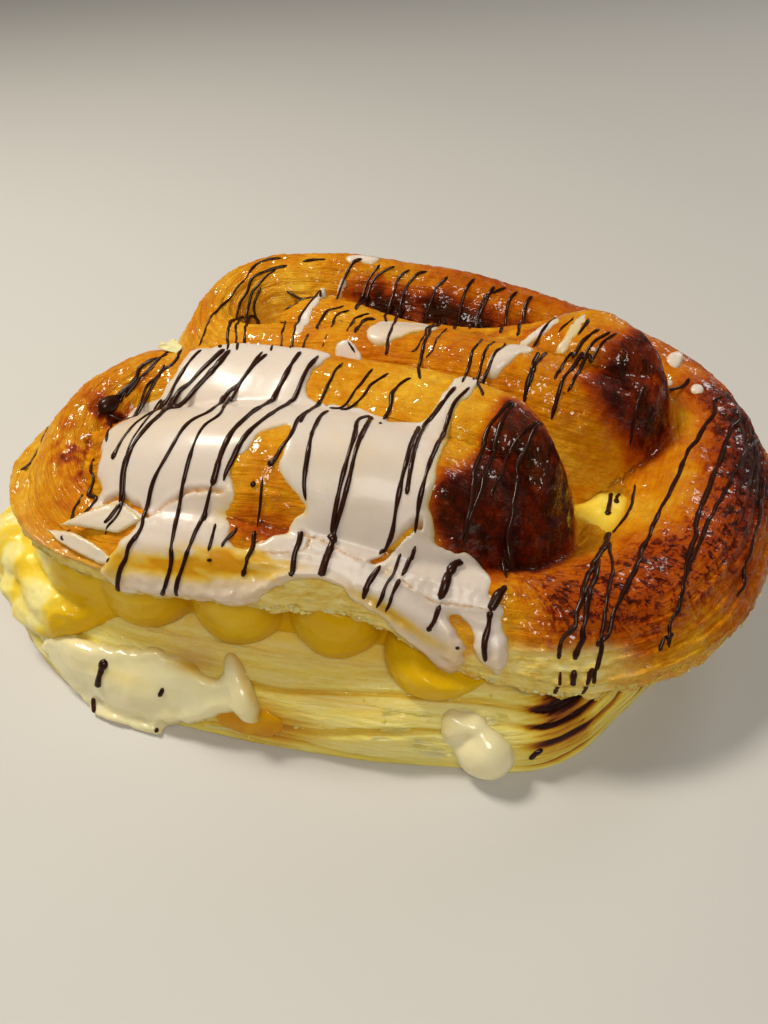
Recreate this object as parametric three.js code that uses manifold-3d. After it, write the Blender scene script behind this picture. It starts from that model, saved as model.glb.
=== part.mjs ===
// Cream palmier: a double-lobed sweet pastry, cut in half level with the table and
// filled with piped vanilla cream.  A rolled strand of laminated dough runs round the
// lid in a scroll: it starts in the front tongue, turns at the tip, runs along the
// front lobe's rim, round the long spine on the right, along the back lobe's rim and
// ends in the back tongue.
//
// Millimetres, +Z up.  +X runs from the open ends of the two lobes to the spine that
// joins them, -Y is the front lobe's side, and z = 0 is the table.
// The finished group is shifted so that the origin is at the centre of the footprint.

import * as THREE from 'three';
import { mergeVertices } from 'three/addons/utils/BufferGeometryUtils.js';
import Module from 'manifold-3d';

const wasm = await Module();
wasm.setup();

// ---------------------------------------------------------------- driving sizes
const GAP = 0.35;              // clearance kept between touching layers
const LID_WALL = 5.0;          // height of the lid's raw edge before it rounds over
const LID_RIM = 13.0;          // width over which the rim rounds up to the strand
const UNDER_SPINE = 17.0;      // height of the lid's underside at the spine
const UNDER_RISE = 13.5;       // how much higher the underside sits over the lobes
const BASE_EDGE = 4.0;         // upright height of the base's outer edge
const BASE_TOP = 15.6;         // height of the base under the cream
const BASE_SINK = 2.0;         // how much lower the base's top is at the spine end
const BASE_SLOPE = 12.5;       // width of the base's slanting side
const CREAM_INSET = 12.0;      // how far the cream stands in from the base's edge
const SMEAR_HEIGHT = 21.0;     // top of the cream pressed out at the front left end
const HOLE = { x: 46.5, y: 0.0, rx: 5.5, ry: 5.0 };   // gap between strand and spine
const HOLE_CREAM = 25.4;       // height of the cream standing in that gap
const LID_STEP = 4.3;          // facet sizes
const BASE_STEP = 5.4;
const CREAM_STEP = 5.4;
const SAMPLES = 8;             // path samples between two stations

// Stations along the dough strand, in order from the front tongue to the back tongue.
// x, y, crest height, inner half width, inner drop, outer half width, outer drop, edge radius
const STRAND = [
  [-53, -33, 46, 13, 3, 9, 5, 9], [-43, -34, 52, 13, 3.5, 11.5, 7.5, 9], [-26, -32, 55.5, 13, 3.5, 12.5, 8.5, 10],
  [-6, -29, 55.5, 13, 3.5, 13, 9.5, 10], [9, -27, 53, 11, 2.5, 13, 11, 10],
  [20, -24, 48.5, 9, 1, 11, 12, 9], [28, -20, 43.5, 8, 1, 9, 11, 9], [32, -14, 42.5, 8, 1, 8, 12, 9], [29, -8.5, 49, 8, 1, 8, 14, 9],
  [22, -5.5, 54, 9, 1.5, 8, 12, 9], [8, -4, 56, 12, 3, 8, 9, 9], [-10, -4, 56, 13, 3.5, 8, 9, 9],
  [-30, -4.5, 56, 13, 3.5, 9, 9, 10], [-44, -6, 54.5, 12, 4, 11, 11, 11],
  [-58, -9, 52.5, 9, 5, 13, 12, 13], [-66.5, -19, 49, 8, 5, 13, 12, 14], [-67, -31, 44.5, 8, 5, 13, 12, 14], [-61, -41, 42, 7, 4, 12, 10, 12],
  [-49, -47.5, 42, 7, 2, 11, 10, 9], [-35, -48.5, 45, 7, 2, 11, 12, 8], [-18, -47, 45, 7, 2, 11, 12, 7.5],
  [0, -45, 43, 7, 2, 11, 12, 5.5], [15, -44, 39, 8, 3, 11, 12, 5.5], [30, -41, 36, 9, 3, 11, 10, 8.5], [43, -36, 34, 12, 4, 12, 9, 12],
  [56, -26, 33, 16, 5, 13, 8, 14], [65, -10, 33, 19, 6, 14, 8, 15], [69, 6, 34, 20, 6, 14, 8, 15], [70, 20, 36, 19, 6, 14, 9, 15], [66, 34, 39, 15, 6, 14, 9, 14],
  [56, 43, 42, 12, 7, 13, 10, 13], [40, 48, 46, 11, 8, 12, 11, 12], [20, 49, 50, 10, 10, 12, 12, 12], [0, 47, 54, 10, 11, 12, 12, 12],
  [-20, 44.3, 56, 9, 10, 12, 12, 12], [-37, 42, 56, 9, 6, 12, 12, 12],
  [-50, 38, 55, 8, 5, 12, 12, 12], [-57.5, 29.5, 51, 8, 5, 12, 12, 12], [-57, 20.5, 47.5, 8, 5, 12, 11, 11], [-49, 14, 48, 8, 4, 11, 10, 10],
  [-36, 14, 49, 9, 3, 8, 9, 9], [-20, 15, 51, 9, 3, 8, 9, 9], [0, 16, 52, 9, 3, 9, 10, 9], [18, 15, 52, 9, 2, 10, 13, 9],
  [34, 14, 50, 9, 2, 10, 16, 10], [46, 17, 45, 9, 2, 8, 14, 10], [51, 24, 45, 9, 2, 8, 14, 10], [46, 31, 51, 9, 2, 9, 14, 10],
  [36, 33, 55.5, 10, 2, 8, 12, 9], [24, 30, 52, 10, 2, 9, 10, 9], [8, 26, 49.5, 10, 2, 10, 8, 9], [-8, 25, 49.5, 10, 2, 10, 8, 9],
  [-22, 27, 51, 8, 3, 9, 8, 9], [-33, 28, 51, 8, 3, 9, 7, 9],
];
const RIM_FIRST = 13, RIM_LAST = 40;         // stations between which the strand is the lid's rim
const KNUCKLE = { x: 15, y: -33, rx: 4.6, ry: 4.2, h: 2.2 };   // swelling on the front tongue

// Outline of the base at its widest level.
const BASE_OUTLINE = [
  [-93.3, -40.5], [-86.6, -46.6], [-79.5, -50.8], [-71.5, -56.8], [-64, -60.5], [-57, -63.2], [-47, -64.8], [-35, -65.2], [-19, -64.9],
  [-6, -63.8], [8, -62.2], [24, -59], [36.5, -56.8], [43.5, -53.6], [50, -47.5], [55, -40], [62, -28], [69, -15], [73.5, 0], [74.5, 16],
  [71, 31], [63.5, 42.5], [52, 50.5], [36, 55.5], [18, 57.8], [-4, 58.2], [-24, 56.5], [-42, 52], [-57, 46], [-67, 37], [-71, 26],
  [-69, 16], [-65, 9], [-69, 3], [-78, -1], [-87, -7], [-93.5, -16], [-96.5, -28.5],
];
// Piped rounds of cream that show along the front: x, y, radius.
const ROUNDS = [[-57, -43, 11.5], [-45, -44.3, 11], [-24.6, -43.5, 10.6], [-3.8, -41, 10.6], [18, -44, 11]];
// Cream pressed out over the base at the front lobe's open end.
const SMEAR = { x: -68, y: -32.5, r: 26.5 };
// Thick blob of icing that has run down the front of the base.
const BLOB = [
  { x: 25.0, y: -55.0, z: 7.6, rx: 5.0, ry: 5.4, rz: 6.8 },
  { x: 30.2, y: -55.2, z: 6.0, rx: 5.8, ry: 5.6, rz: 5.6 },
  { x: 29.6, y: -53.6, z: 10.4, rx: 4.0, ry: 4.6, rz: 3.6 },
];

// ---------------------------------------------------------------- curves
const clamp = (v, a, b) => Math.min(b, Math.max(a, v));
const smooth = (t) => { const u = clamp(t, 0, 1); return u * u * (3 - 2 * u); };

function spline(points, per, closed) {
  const n = points.length, out = [];
  const at = (i) => points[closed ? (i + n) % n : clamp(i, 0, n - 1)];
  for (let i = 0; i < (closed ? n : n - 1); i++) {
    const [a, b, c, d] = [at(i - 1), at(i), at(i + 1), at(i + 2)];
    for (let k = 0; k < per; k++) {
      const t = k / per;
      out.push(b.map((_, j) => 0.5 * (2 * b[j] + (c[j] - a[j]) * t
        + (2 * a[j] - 5 * b[j] + 4 * c[j] - d[j]) * t * t
        + (3 * b[j] - a[j] - 3 * c[j] + d[j]) * t * t * t)));
    }
  }
  if (!closed) out.push(points[n - 1].slice());
  return out;
}

const PATH = spline(STRAND, SAMPLES, false);
const TANGENT = PATH.map((p, i) => {
  const a = PATH[Math.max(i - 1, 0)], b = PATH[Math.min(i + 1, PATH.length - 1)];
  const l = Math.hypot(b[0] - a[0], b[1] - a[1]);
  return [(b[0] - a[0]) / l, (b[1] - a[1]) / l, l / (i === 0 || i === PATH.length - 1 ? 1 : 2)];
});
const RIM = PATH.slice(RIM_FIRST * SAMPLES, RIM_LAST * SAMPLES + 1);
const BASE_LOOP = spline(BASE_OUTLINE, 5, true);

function inside(loop, x, y) {
  let odd = false;
  for (let i = 0, j = loop.length - 1; i < loop.length; j = i++) {
    const a = loop[i], b = loop[j];
    if ((a[1] > y) !== (b[1] > y) && x < a[0] + (y - a[1]) * (b[0] - a[0]) / (b[1] - a[1])) odd = !odd;
  }
  return odd;
}
function loopDistance(loop, x, y) {
  let best = Infinity;
  for (let i = 0, j = loop.length - 1; i < loop.length; j = i++) {
    const a = loop[j], b = loop[i], ux = b[0] - a[0], uy = b[1] - a[1];
    const t = clamp(((x - a[0]) * ux + (y - a[1]) * uy) / (ux * ux + uy * uy), 0, 1);
    best = Math.min(best, Math.hypot(x - a[0] - t * ux, y - a[1] - t * uy));
  }
  return best;
}

// ---------------------------------------------------------------- surfaces
const underside = (x) => UNDER_SPINE + smooth((36 - x) / 44) * UNDER_RISE + clamp((-x - 10) / 70, 0, 1) * 1.5;

// Height of the blended strands at a point.
function strandHeight(x, y) {
  const soft = 0.9;
  let top = -Infinity;
  const parts = PATH.map((p, i) => {
    const dx = x - p[0], dy = y - p[1], d2 = dx * dx + dy * dy;
    const s = clamp((TANGENT[i][0] * dy - TANGENT[i][1] * dx) / 3, -1, 1) / 2 + 0.5;
    const w = p[5] * (1 - s) + p[3] * s, drop = p[6] * (1 - s) + p[4] * s, q = d2 / (w * w);
    const z = p[2] - drop * q - 6 * Math.max(0, q - 1) ** 2;
    top = Math.max(top, z);
    return [z, TANGENT[i][2] * Math.sqrt(drop / (w * w) / (Math.PI * soft))];
  });
  let sum = 0.25;
  for (const [z, weight] of parts) sum += weight * Math.exp(Math.max((z - top) / soft, -30));
  const k = KNUCKLE;
  return top + soft * Math.log(sum) + k.h * Math.exp(-(((x - k.x) / k.rx) ** 2) - ((y - k.y) / k.ry) ** 2);
}
// How far a point lies in from the lid's edge; negative outside it.
function lidInset(x, y) {
  let d = -Infinity;
  for (const p of PATH) d = Math.max(d, p[7] - Math.hypot(x - p[0], y - p[1]));
  if (inside(RIM, x, y)) {
    let near = Infinity, radius = 0;
    for (const p of RIM) { const l = Math.hypot(x - p[0], y - p[1]); if (l < near) { near = l; radius = p[7]; } }
    d = Math.max(d, near + radius);
  }
  if (x > -47 && x < -20 && Math.abs(y - 3) < 14) d = Math.max(d, clamp((x + 47) * 1.2, -20, 14));
  return d;
}
function lidTop(x, y) {
  const edge = underside(x) + LID_WALL, t = clamp(lidInset(x, y) / LID_RIM, 0, 1);
  return edge + (Math.max(strandHeight(x, y), edge) - edge) * Math.sqrt(1 - (1 - t) ** 2);
}
const baseInset = (x, y) => loopDistance(BASE_LOOP, x, y) * (inside(BASE_LOOP, x, y) ? 1 : -1);
function baseTop(x, y) {
  const t = clamp(baseInset(x, y) / BASE_SLOPE, 0, 1), high = BASE_TOP - BASE_SINK * smooth((x - 10) / 50);
  return BASE_EDGE + (high - BASE_EDGE) * Math.sqrt(1 - (1 - t) ** 2.2);
}
// The cream: the area under the lid, the piped rounds, and the part pressed out on the left.
function creamInset(x, y) {
  let d = Math.min(baseInset(x, y) - CREAM_INSET - 2, lidInset(x, y) - 3);
  for (const [cx, cy, r] of ROUNDS) d = Math.max(d, r - Math.hypot(x - cx, y - cy));
  const smear = Math.min(baseInset(x, y) - 3, SMEAR.r - Math.hypot((x - SMEAR.x) * 0.95, y - SMEAR.y));
  return Math.max(d, smear);
}
function creamTop(x, y) {
  const under = underside(x) - GAP, lid = lidInset(x, y), edge = clamp(creamInset(x, y) / 6, 0, 1);
  const round = Math.sqrt(1 - (1 - edge) ** 2);
  const room = smooth((lid - 0.6) / 2.6);
  const open = Math.min(SMEAR_HEIGHT, under);
  const full = open + (under - open) * room;
  const low = baseTop(x, y) + GAP + 0.8;
  return Math.max(low, low + (full - low) * (0.35 + 0.65 * round));
}
const creamBottom = (x, y) => baseTop(x, y) - 1;

// ---------------------------------------------------------------- solids
// A plate over the region where inset(x, y) > 0, between two height functions.
function plate({ inset, top, bottom, step, flatBottom = false, box = [-100, -72, 92, 68] }) {
  const [x0, y0, x1, y1] = box, h = step * Math.sqrt(3) / 2;
  const rows = Math.ceil((y1 - y0) / h) + 1, cols = Math.ceil((x1 - x0) / step) + 2;
  const node = [];
  for (let r = 0; r < rows; r++) for (let c = 0; c < cols; c++) {
    let x = x0 + (c - (r % 2) / 2) * step, y = y0 + r * h, d = inset(x, y);
    if (Math.abs(d) < 0.3 * step) {
      // a point close to the edge moves onto it
      for (let k = 0; k < 3; k++) {
        const gx = (inset(x + 0.05, y) - inset(x - 0.05, y)) / 0.1, gy = (inset(x, y + 0.05) - inset(x, y - 0.05)) / 0.1;
        const l = Math.max(gx * gx + gy * gy, 0.3);
        x -= d * gx / l; y -= d * gy / l; d = inset(x, y);
      }
      d = 0;
    }
    node.push({ x, y, d });
  }
  const plan = [], index = new Map();
  const vertex = (key, x, y) => {
    if (!index.has(key)) { index.set(key, plan.length); plan.push([x, y]); }
    return index.get(key);
  };
  const crossing = (i, j) => {
    const [a, b] = i < j ? [i, j] : [j, i];
    let lo = node[a], hi = node[b], p = lo;
    for (let k = 0; k < 12; k++) {
      p = { x: (lo.x + hi.x) / 2, y: (lo.y + hi.y) / 2 };
      p.d = inset(p.x, p.y);
      if ((p.d > 0) === (lo.d > 0)) lo = p; else hi = p;
    }
    return vertex(`${a}_${b}`, p.x, p.y);
  };
  const faces = [];
  const corner = (i) => vertex(`${i}`, node[i].x, node[i].y);
  const clip = (...loop) => {
    const d = loop.map((i) => node[i].d);
    if (Math.max(...d) <= 0) {
      const [A, B, C] = loop.map((i) => node[i]);
      if (Math.min(...d) < 0 || inset((A.x + B.x + C.x) / 3, (A.y + B.y + C.y) / 3) <= 0) return;
    }
    const poly = [];
    for (let e = 0; e < 3; e++) {
      const a = loop[e], b = loop[(e + 1) % 3];
      if (node[a].d >= 0) poly.push(corner(a));
      if (node[a].d * node[b].d < 0) poly.push(crossing(a, b));
    }
    for (let e = 1; e + 1 < poly.length; e++) faces.push([poly[0], poly[e], poly[e + 1]]);
  };
  for (let r = 0; r + 1 < rows; r++) for (let c = 0; c + 1 < cols; c++) {
    const a = r * cols + c, b = a + 1, d = a + cols, e = d + 1;
    if (r % 2 === 0) { clip(a, b, e); clip(a, e, d); } else { clip(a, b, d); clip(b, e, d); }
  }
  // the border is every edge that only one face uses
  const edges = new Set();
  for (const f of faces) for (let e = 0; e < 3; e++) edges.add(`${f[e]}_${f[(e + 1) % 3]}`);
  const border = [...edges].map((k) => k.split('_').map(Number)).filter(([i, j]) => !edges.has(`${j}_${i}`));
  const n = plan.length, position = [], triangles = [];
  for (const [x, y] of plan) position.push(x, y, top(x, y));
  for (const [x, y] of plan) position.push(x, y, bottom(x, y));
  for (const [a, b, c] of faces) triangles.push(a, b, c);
  if (flatBottom) {
    // the flat underside is one polygon inside the border
    const next = new Map(border.map(([a, b]) => [a, b]));
    const start = border[0][0], ring = [start];
    for (let v = next.get(start); v !== start; v = next.get(v)) ring.push(v);
    const flat = THREE.ShapeUtils.triangulateShape(ring.map((v) => new THREE.Vector2(...plan[v])), []);
    for (const [a, b, c] of flat) {
      const [A, B, C] = [plan[ring[a]], plan[ring[b]], plan[ring[c]]];
      const up = (B[0] - A[0]) * (C[1] - A[1]) - (B[1] - A[1]) * (C[0] - A[0]) > 0;
      triangles.push(n + ring[a], n + ring[up ? c : b], n + ring[up ? b : c]);
    }
  } else {
    for (const [a, b, c] of faces) triangles.push(n + a, n + c, n + b);
  }
  for (const [a, b] of border) triangles.push(a, n + a, n + b, a, n + b, b);
  return compact(position, triangles);
}
// Drops vertices that no triangle uses.
function compact(position, triangles) {
  const map = new Map(), kept = [];
  const order = triangles.map((v) => {
    if (!map.has(v)) { map.set(v, kept.length / 3); kept.push(position[3 * v], position[3 * v + 1], position[3 * v + 2]); }
    return map.get(v);
  });
  const geometry = new THREE.BufferGeometry();
  geometry.setAttribute('position', new THREE.Float32BufferAttribute(kept, 3));
  geometry.setIndex(order);
  return geometry;
}
function toSolid(geometry) {
  const g = geometry.clone();
  g.deleteAttribute('normal');
  g.deleteAttribute('uv');
  const m = mergeVertices(g, 1e-4);
  return new wasm.Manifold(new wasm.Mesh({
    numProp: 3,
    vertProperties: new Float32Array(m.attributes.position.array),
    triVerts: new Uint32Array(m.index.array),
  }));
}
function fromSolid(solid) {
  const m = solid.getMesh(), g = new THREE.BufferGeometry();
  g.setAttribute('position', new THREE.BufferAttribute(new Float32Array(m.vertProperties), 3));
  g.setIndex(new THREE.BufferAttribute(new Uint32Array(m.triVerts), 1));
  g.computeVertexNormals();
  return g;
}
function ellipticPost(x, y, rx, ry, z0, z1, segments = 20) {
  const g = new THREE.CylinderGeometry(1, 1, z1 - z0, segments);
  g.rotateX(Math.PI / 2);
  g.scale(rx, ry, 1);
  g.translate(x, y, (z0 + z1) / 2);
  return g;
}
// Post with a rounded top, for the cream that stands in the gap.
function creamPost(x, y, rx, ry, z0, z1) {
  const profile = [[0, z0], [1, z0], [1, z1 - 1.6], [0.86, z1 - 0.6], [0.5, z1 - 0.1], [0, z1]].map(([r, z]) => new THREE.Vector2(r, z));
  const g = new THREE.LatheGeometry(profile, 18);
  g.rotateX(Math.PI / 2);
  g.scale(rx, ry, 1);
  g.translate(x, y, 0);
  return g;
}

const lid = toSolid(plate({ inset: lidInset, top: lidTop, bottom: (x) => underside(x), step: LID_STEP }))
  .subtract(toSolid(ellipticPost(HOLE.x, HOLE.y, HOLE.rx, HOLE.ry, 8, 70)));

const base = toSolid(plate({ inset: baseInset, top: baseTop, bottom: () => 0, step: BASE_STEP, flatBottom: true }));

// The cream lies on the base, so the base's own surface, raised by the clearance, cuts it.
const cream = toSolid(plate({ inset: creamInset, top: creamTop, bottom: creamBottom, step: CREAM_STEP }))
  .subtract(base.translate([0, 0, GAP]))
  .add(toSolid(creamPost(HOLE.x, HOLE.y, HOLE.rx - 0.5, HOLE.ry - 0.5, underside(HOLE.x) - 1.6, HOLE_CREAM)));

let blob = null;
for (const b of BLOB) {
  const g = new THREE.SphereGeometry(1, 18, 12);
  g.rotateX(Math.PI / 2);
  g.scale(b.rx, b.ry, b.rz);
  g.translate(b.x, b.y, b.z);
  blob = blob ? blob.add(toSolid(g)) : toSolid(g);
}
const slab = new THREE.BoxGeometry(60, 60, 20);
slab.translate(27, -57, -9.6);
blob = blob.subtract(base.translate([0, -0.4, 0.4])).subtract(base.translate([0, -0.45, 0])).subtract(toSolid(slab));

// ---------------------------------------------------------------- parts
const finish = (color, roughness) => new THREE.MeshStandardMaterial({ color, roughness, metalness: 0 });
const parts = {
  base_pastry: [fromSolid(base), finish(0xe3c777, 0.7)],
  cream_filling: [fromSolid(cream), finish(0xf2e6a8, 0.45)],
  top_pastry: [fromSolid(lid), finish(0xd98a2b, 0.35)],
  icing_blob: [fromSolid(blob), finish(0xf4efe2, 0.3)],
};
const inner = new THREE.Group();
for (const [name, [geometry, material]] of Object.entries(parts)) {
  const mesh = new THREE.Mesh(geometry, material);
  mesh.name = name;
  inner.add(mesh);
}
const extent = new THREE.Box3().setFromObject(inner);
inner.position.set(-(extent.min.x + extent.max.x) / 2, -(extent.min.y + extent.max.y) / 2, -extent.min.z);

const palmier = new THREE.Group();
palmier.add(inner);
export default palmier;
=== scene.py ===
import bpy
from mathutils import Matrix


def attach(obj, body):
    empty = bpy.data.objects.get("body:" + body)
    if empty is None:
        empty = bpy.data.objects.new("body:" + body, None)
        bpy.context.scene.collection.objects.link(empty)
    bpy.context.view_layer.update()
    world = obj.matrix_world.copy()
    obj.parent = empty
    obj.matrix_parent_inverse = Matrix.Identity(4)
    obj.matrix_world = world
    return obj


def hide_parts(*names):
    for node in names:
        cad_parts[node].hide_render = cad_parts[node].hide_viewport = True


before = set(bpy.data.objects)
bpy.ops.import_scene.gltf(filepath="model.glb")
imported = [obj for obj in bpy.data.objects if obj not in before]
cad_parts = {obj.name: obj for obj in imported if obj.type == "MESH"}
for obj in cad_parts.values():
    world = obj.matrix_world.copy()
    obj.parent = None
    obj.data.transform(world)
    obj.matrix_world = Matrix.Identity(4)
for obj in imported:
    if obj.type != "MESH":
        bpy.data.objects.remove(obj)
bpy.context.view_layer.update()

import bpy, math
import numpy as np
import openvdb
from mathutils import Vector, Matrix
from mathutils.geometry import delaunay_2d_cdt

SHIFT = np.array([5.5909423828125, 2.086467742919922, 0.0])
rng = np.random.default_rng(7)
scene = bpy.context.scene

# ------------------------------------------------------------------ noise
def _h(ix, iy, iz, seed):
    h = (ix.astype(np.int64) * 374761393 + iy.astype(np.int64) * 668265263 + iz.astype(np.int64) * 2147483629 + seed * 974634777) & 0xFFFFFFFF
    h = ((h ^ (h >> 13)) * 1274126177) & 0xFFFFFFFF
    h = ((h ^ (h >> 15)) * 2246822519) & 0xFFFFFFFF
    return ((h ^ (h >> 16)) & 0xFFFFFF).astype(np.float64) / 8388607.5 - 1.0
def vn(x, y, z=0.0, seed=0):
    """value noise, -1..1"""
    x, y, z = np.broadcast_arrays(np.asarray(x, float), np.asarray(y, float), np.asarray(z, float))
    ix, iy, iz = np.floor(x), np.floor(y), np.floor(z)
    fx, fy, fz = x - ix, y - iy, z - iz
    fx, fy, fz = [t * t * t * (t * (t * 6 - 15) + 10) for t in (fx, fy, fz)]
    out = 0
    for a, wa in ((0, 1 - fx), (1, fx)):
        for b, wb in ((0, 1 - fy), (1, fy)):
            for c, wc in ((0, 1 - fz), (1, fz)):
                out = out + _h(ix + a, iy + b, iz + c, seed) * wa * wb * wc
    return out
def fbm(x, y, z=0.0, o=3, seed=0):
    s, a, t = 0, 1.0, 0
    for k in range(o):
        s = s + a * vn(x * 2.03 ** k + 17.3 * k, y * 2.03 ** k - 9.1 * k, np.asarray(z) * 2.03 ** k + 4.7 * k, seed + 11 * k)
        t += a; a *= 0.5
    return s / t

# ------------------------------------------------------------------ the same form as the CAD
STRAND = np.array([
 [-53,-33,46,13,3,9,5,9],[-43,-34,52,13,3.5,11.5,7.5,9],[-26,-32,55.5,13,3.5,12.5,8.5,10],
 [-6,-29,55.5,13,3.5,13,9.5,10],[9,-27,53,11,2.5,13,11,10],
 [20,-24,48.5,9,1,11,12,9],[28,-20,43.5,8,1,9,11,9],[32,-14,42.5,8,1,8,12,9],[29,-8.5,49,8,1,8,14,9],
 [22,-5.5,54,9,1.5,8,12,9],[8,-4,56,12,3,8,9,9],[-10,-4,56,13,3.5,8,9,9],
 [-30,-4.5,56,13,3.5,9,9,10],[-44,-6,54.5,12,4,11,11,11],
 [-58,-9,52.5,9,5,13,12,13],[-66.5,-19,49,8,5,13,12,14],[-67,-31,44.5,8,5,13,12,14],[-61,-41,42,7,4,12,10,12],
 [-49,-47.5,42,7,2,11,10,9],[-35,-48.5,45,7,2,11,12,8],[-18,-47,45,7,2,11,12,7.5],
 [0,-45,43,7,2,11,12,5.5],[15,-44,39,8,3,11,12,5.5],[30,-41,36,9,3,11,10,8.5],[43,-36,34,12,4,12,9,12],
 [56,-26,33,16,5,13,8,14],[65,-10,33,19,6,14,8,15],[69,6,34,20,6,14,8,15],[70,20,36,19,6,14,9,15],[66,34,39,15,6,14,9,14],
 [56,43,42,12,7,13,10,13],[40,48,46,11,8,12,11,12],[20,49,50,10,10,12,12,12],[0,47,54,10,11,12,12,12],
 [-20,44.3,56,9,10,12,12,12],[-37,42,56,9,6,12,12,12],
 [-50,38,55,8,5,12,12,12],[-57.5,29.5,51,8,5,12,12,12],[-57,20.5,47.5,8,5,12,11,11],[-49,14,48,8,4,11,10,10],
 [-36,14,49,9,3,8,9,9],[-20,15,51,9,3,8,9,9],[0,16,52,9,3,9,10,9],[18,15,52,9,2,10,13,9],
 [34,14,50,9,2,10,16,10],[46,17,45,9,2,8,14,10],[51,24,45,9,2,8,14,10],[46,31,51,9,2,9,14,10],
 [36,33,55.5,10,2,8,12,9],[24,30,52,10,2,9,10,9],[8,26,49.5,10,2,10,8,9],[-8,25,49.5,10,2,10,8,9],
 [-22,27,51,8,3,9,8,9],[-33,28,51,8,3,9,7,9]],float)
RIM_FIRST,RIM_LAST,SAMPLES=13,40,8
BASE_OUTLINE=np.array([
 [-93.3,-40.5],[-86.6,-46.6],[-79.5,-50.8],[-71.5,-56.8],[-64,-60.5],[-57,-63.2],[-47,-64.8],[-35,-65.2],[-19,-64.9],
 [-6,-63.8],[8,-62.2],[24,-59],[36.5,-56.8],[43.5,-53.6],[50,-47.5],[55,-40],[62,-28],[69,-15],[73.5,0],[74.5,16],
 [71,31],[63.5,42.5],[52,50.5],[36,55.5],[18,57.8],[-4,58.2],[-24,56.5],[-42,52],[-57,46],[-67,37],[-71,26],
 [-69,16],[-65,9],[-69,3],[-78,-1],[-87,-7],[-93.5,-16],[-96.5,-28.5]],float)
HOLE=(46.0,0.4,6.6,5.6)
WALL,RIMW=5.0,13.0
EDGE,BTOP,BSINK,BSLOPE=4.0,15.6,2.0,12.5
def spline(P,per,closed):
    n=len(P); out=[]
    at=lambda i:P[i%n] if closed else P[min(max(i,0),n-1)]
    for i in range(n if closed else n-1):
        a,b,c,d=at(i-1),at(i),at(i+1),at(i+2)
        t=(np.arange(per)/per)[:,None]
        out.append(0.5*(2*b+(c-a)*t+(2*a-5*b+4*c-d)*t*t+(3*b-a-3*c+d)*t**3))
    if not closed: out.append(P[-1:])
    return np.concatenate(out)
PATH=spline(STRAND,SAMPLES,False)
_d=np.gradient(PATH[:,:2],axis=0); _l=np.linalg.norm(_d,axis=1); TAN=_d/_l[:,None]; DSP=_l
ARC=np.concatenate([[0],np.cumsum(np.linalg.norm(np.diff(PATH[:,:2],axis=0),axis=1))])
RIM=PATH[RIM_FIRST*SAMPLES:RIM_LAST*SAMPLES+1]
BASELOOP=spline(BASE_OUTLINE,5,True)
def sm(t):
    t=np.clip(t,0,1); return t*t*(3-2*t)
def inpoly(X,Y,P):
    ins=np.zeros(X.shape,bool); n=len(P)
    for i in range(n):
        x1,y1=P[i,0],P[i,1]; x2,y2=P[i-1,0],P[i-1,1]
        if y1==y2: continue
        ins^=((y1>Y)!=(y2>Y))&(X<x1+(Y-y1)*(x2-x1)/(y2-y1))
    return ins
def polydist(X,Y,P,closed=True):
    sh=X.shape; x=X.ravel(); y=Y.ravel(); out=np.empty(x.size)
    A=P[:,:2]; B=np.roll(P[:,:2],-1,0)
    if not closed: A=A[:-1]; B=B[:-1]
    U=B-A; L=(U**2).sum(1)+1e-12
    for a in range(0,x.size,6000):
        px,py=x[a:a+6000,None],y[a:a+6000,None]
        t=np.clip(((px-A[:,0])*U[:,0]+(py-A[:,1])*U[:,1])/L,0,1)
        out[a:a+6000]=np.sqrt(((px-A[:,0]-t*U[:,0])**2+(py-A[:,1]-t*U[:,1])**2).min(1))
    return out.reshape(sh)
def sdf(X,Y,P):
    X=np.asarray(X,float); Y=np.asarray(Y,float)
    return polydist(X,Y,P)*np.where(inpoly(X,Y,P),1,-1)
def underside(x): return 17+sm((36-x)/44)*13.5+np.clip((-x-10)/70,0,1)*1.5
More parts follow.
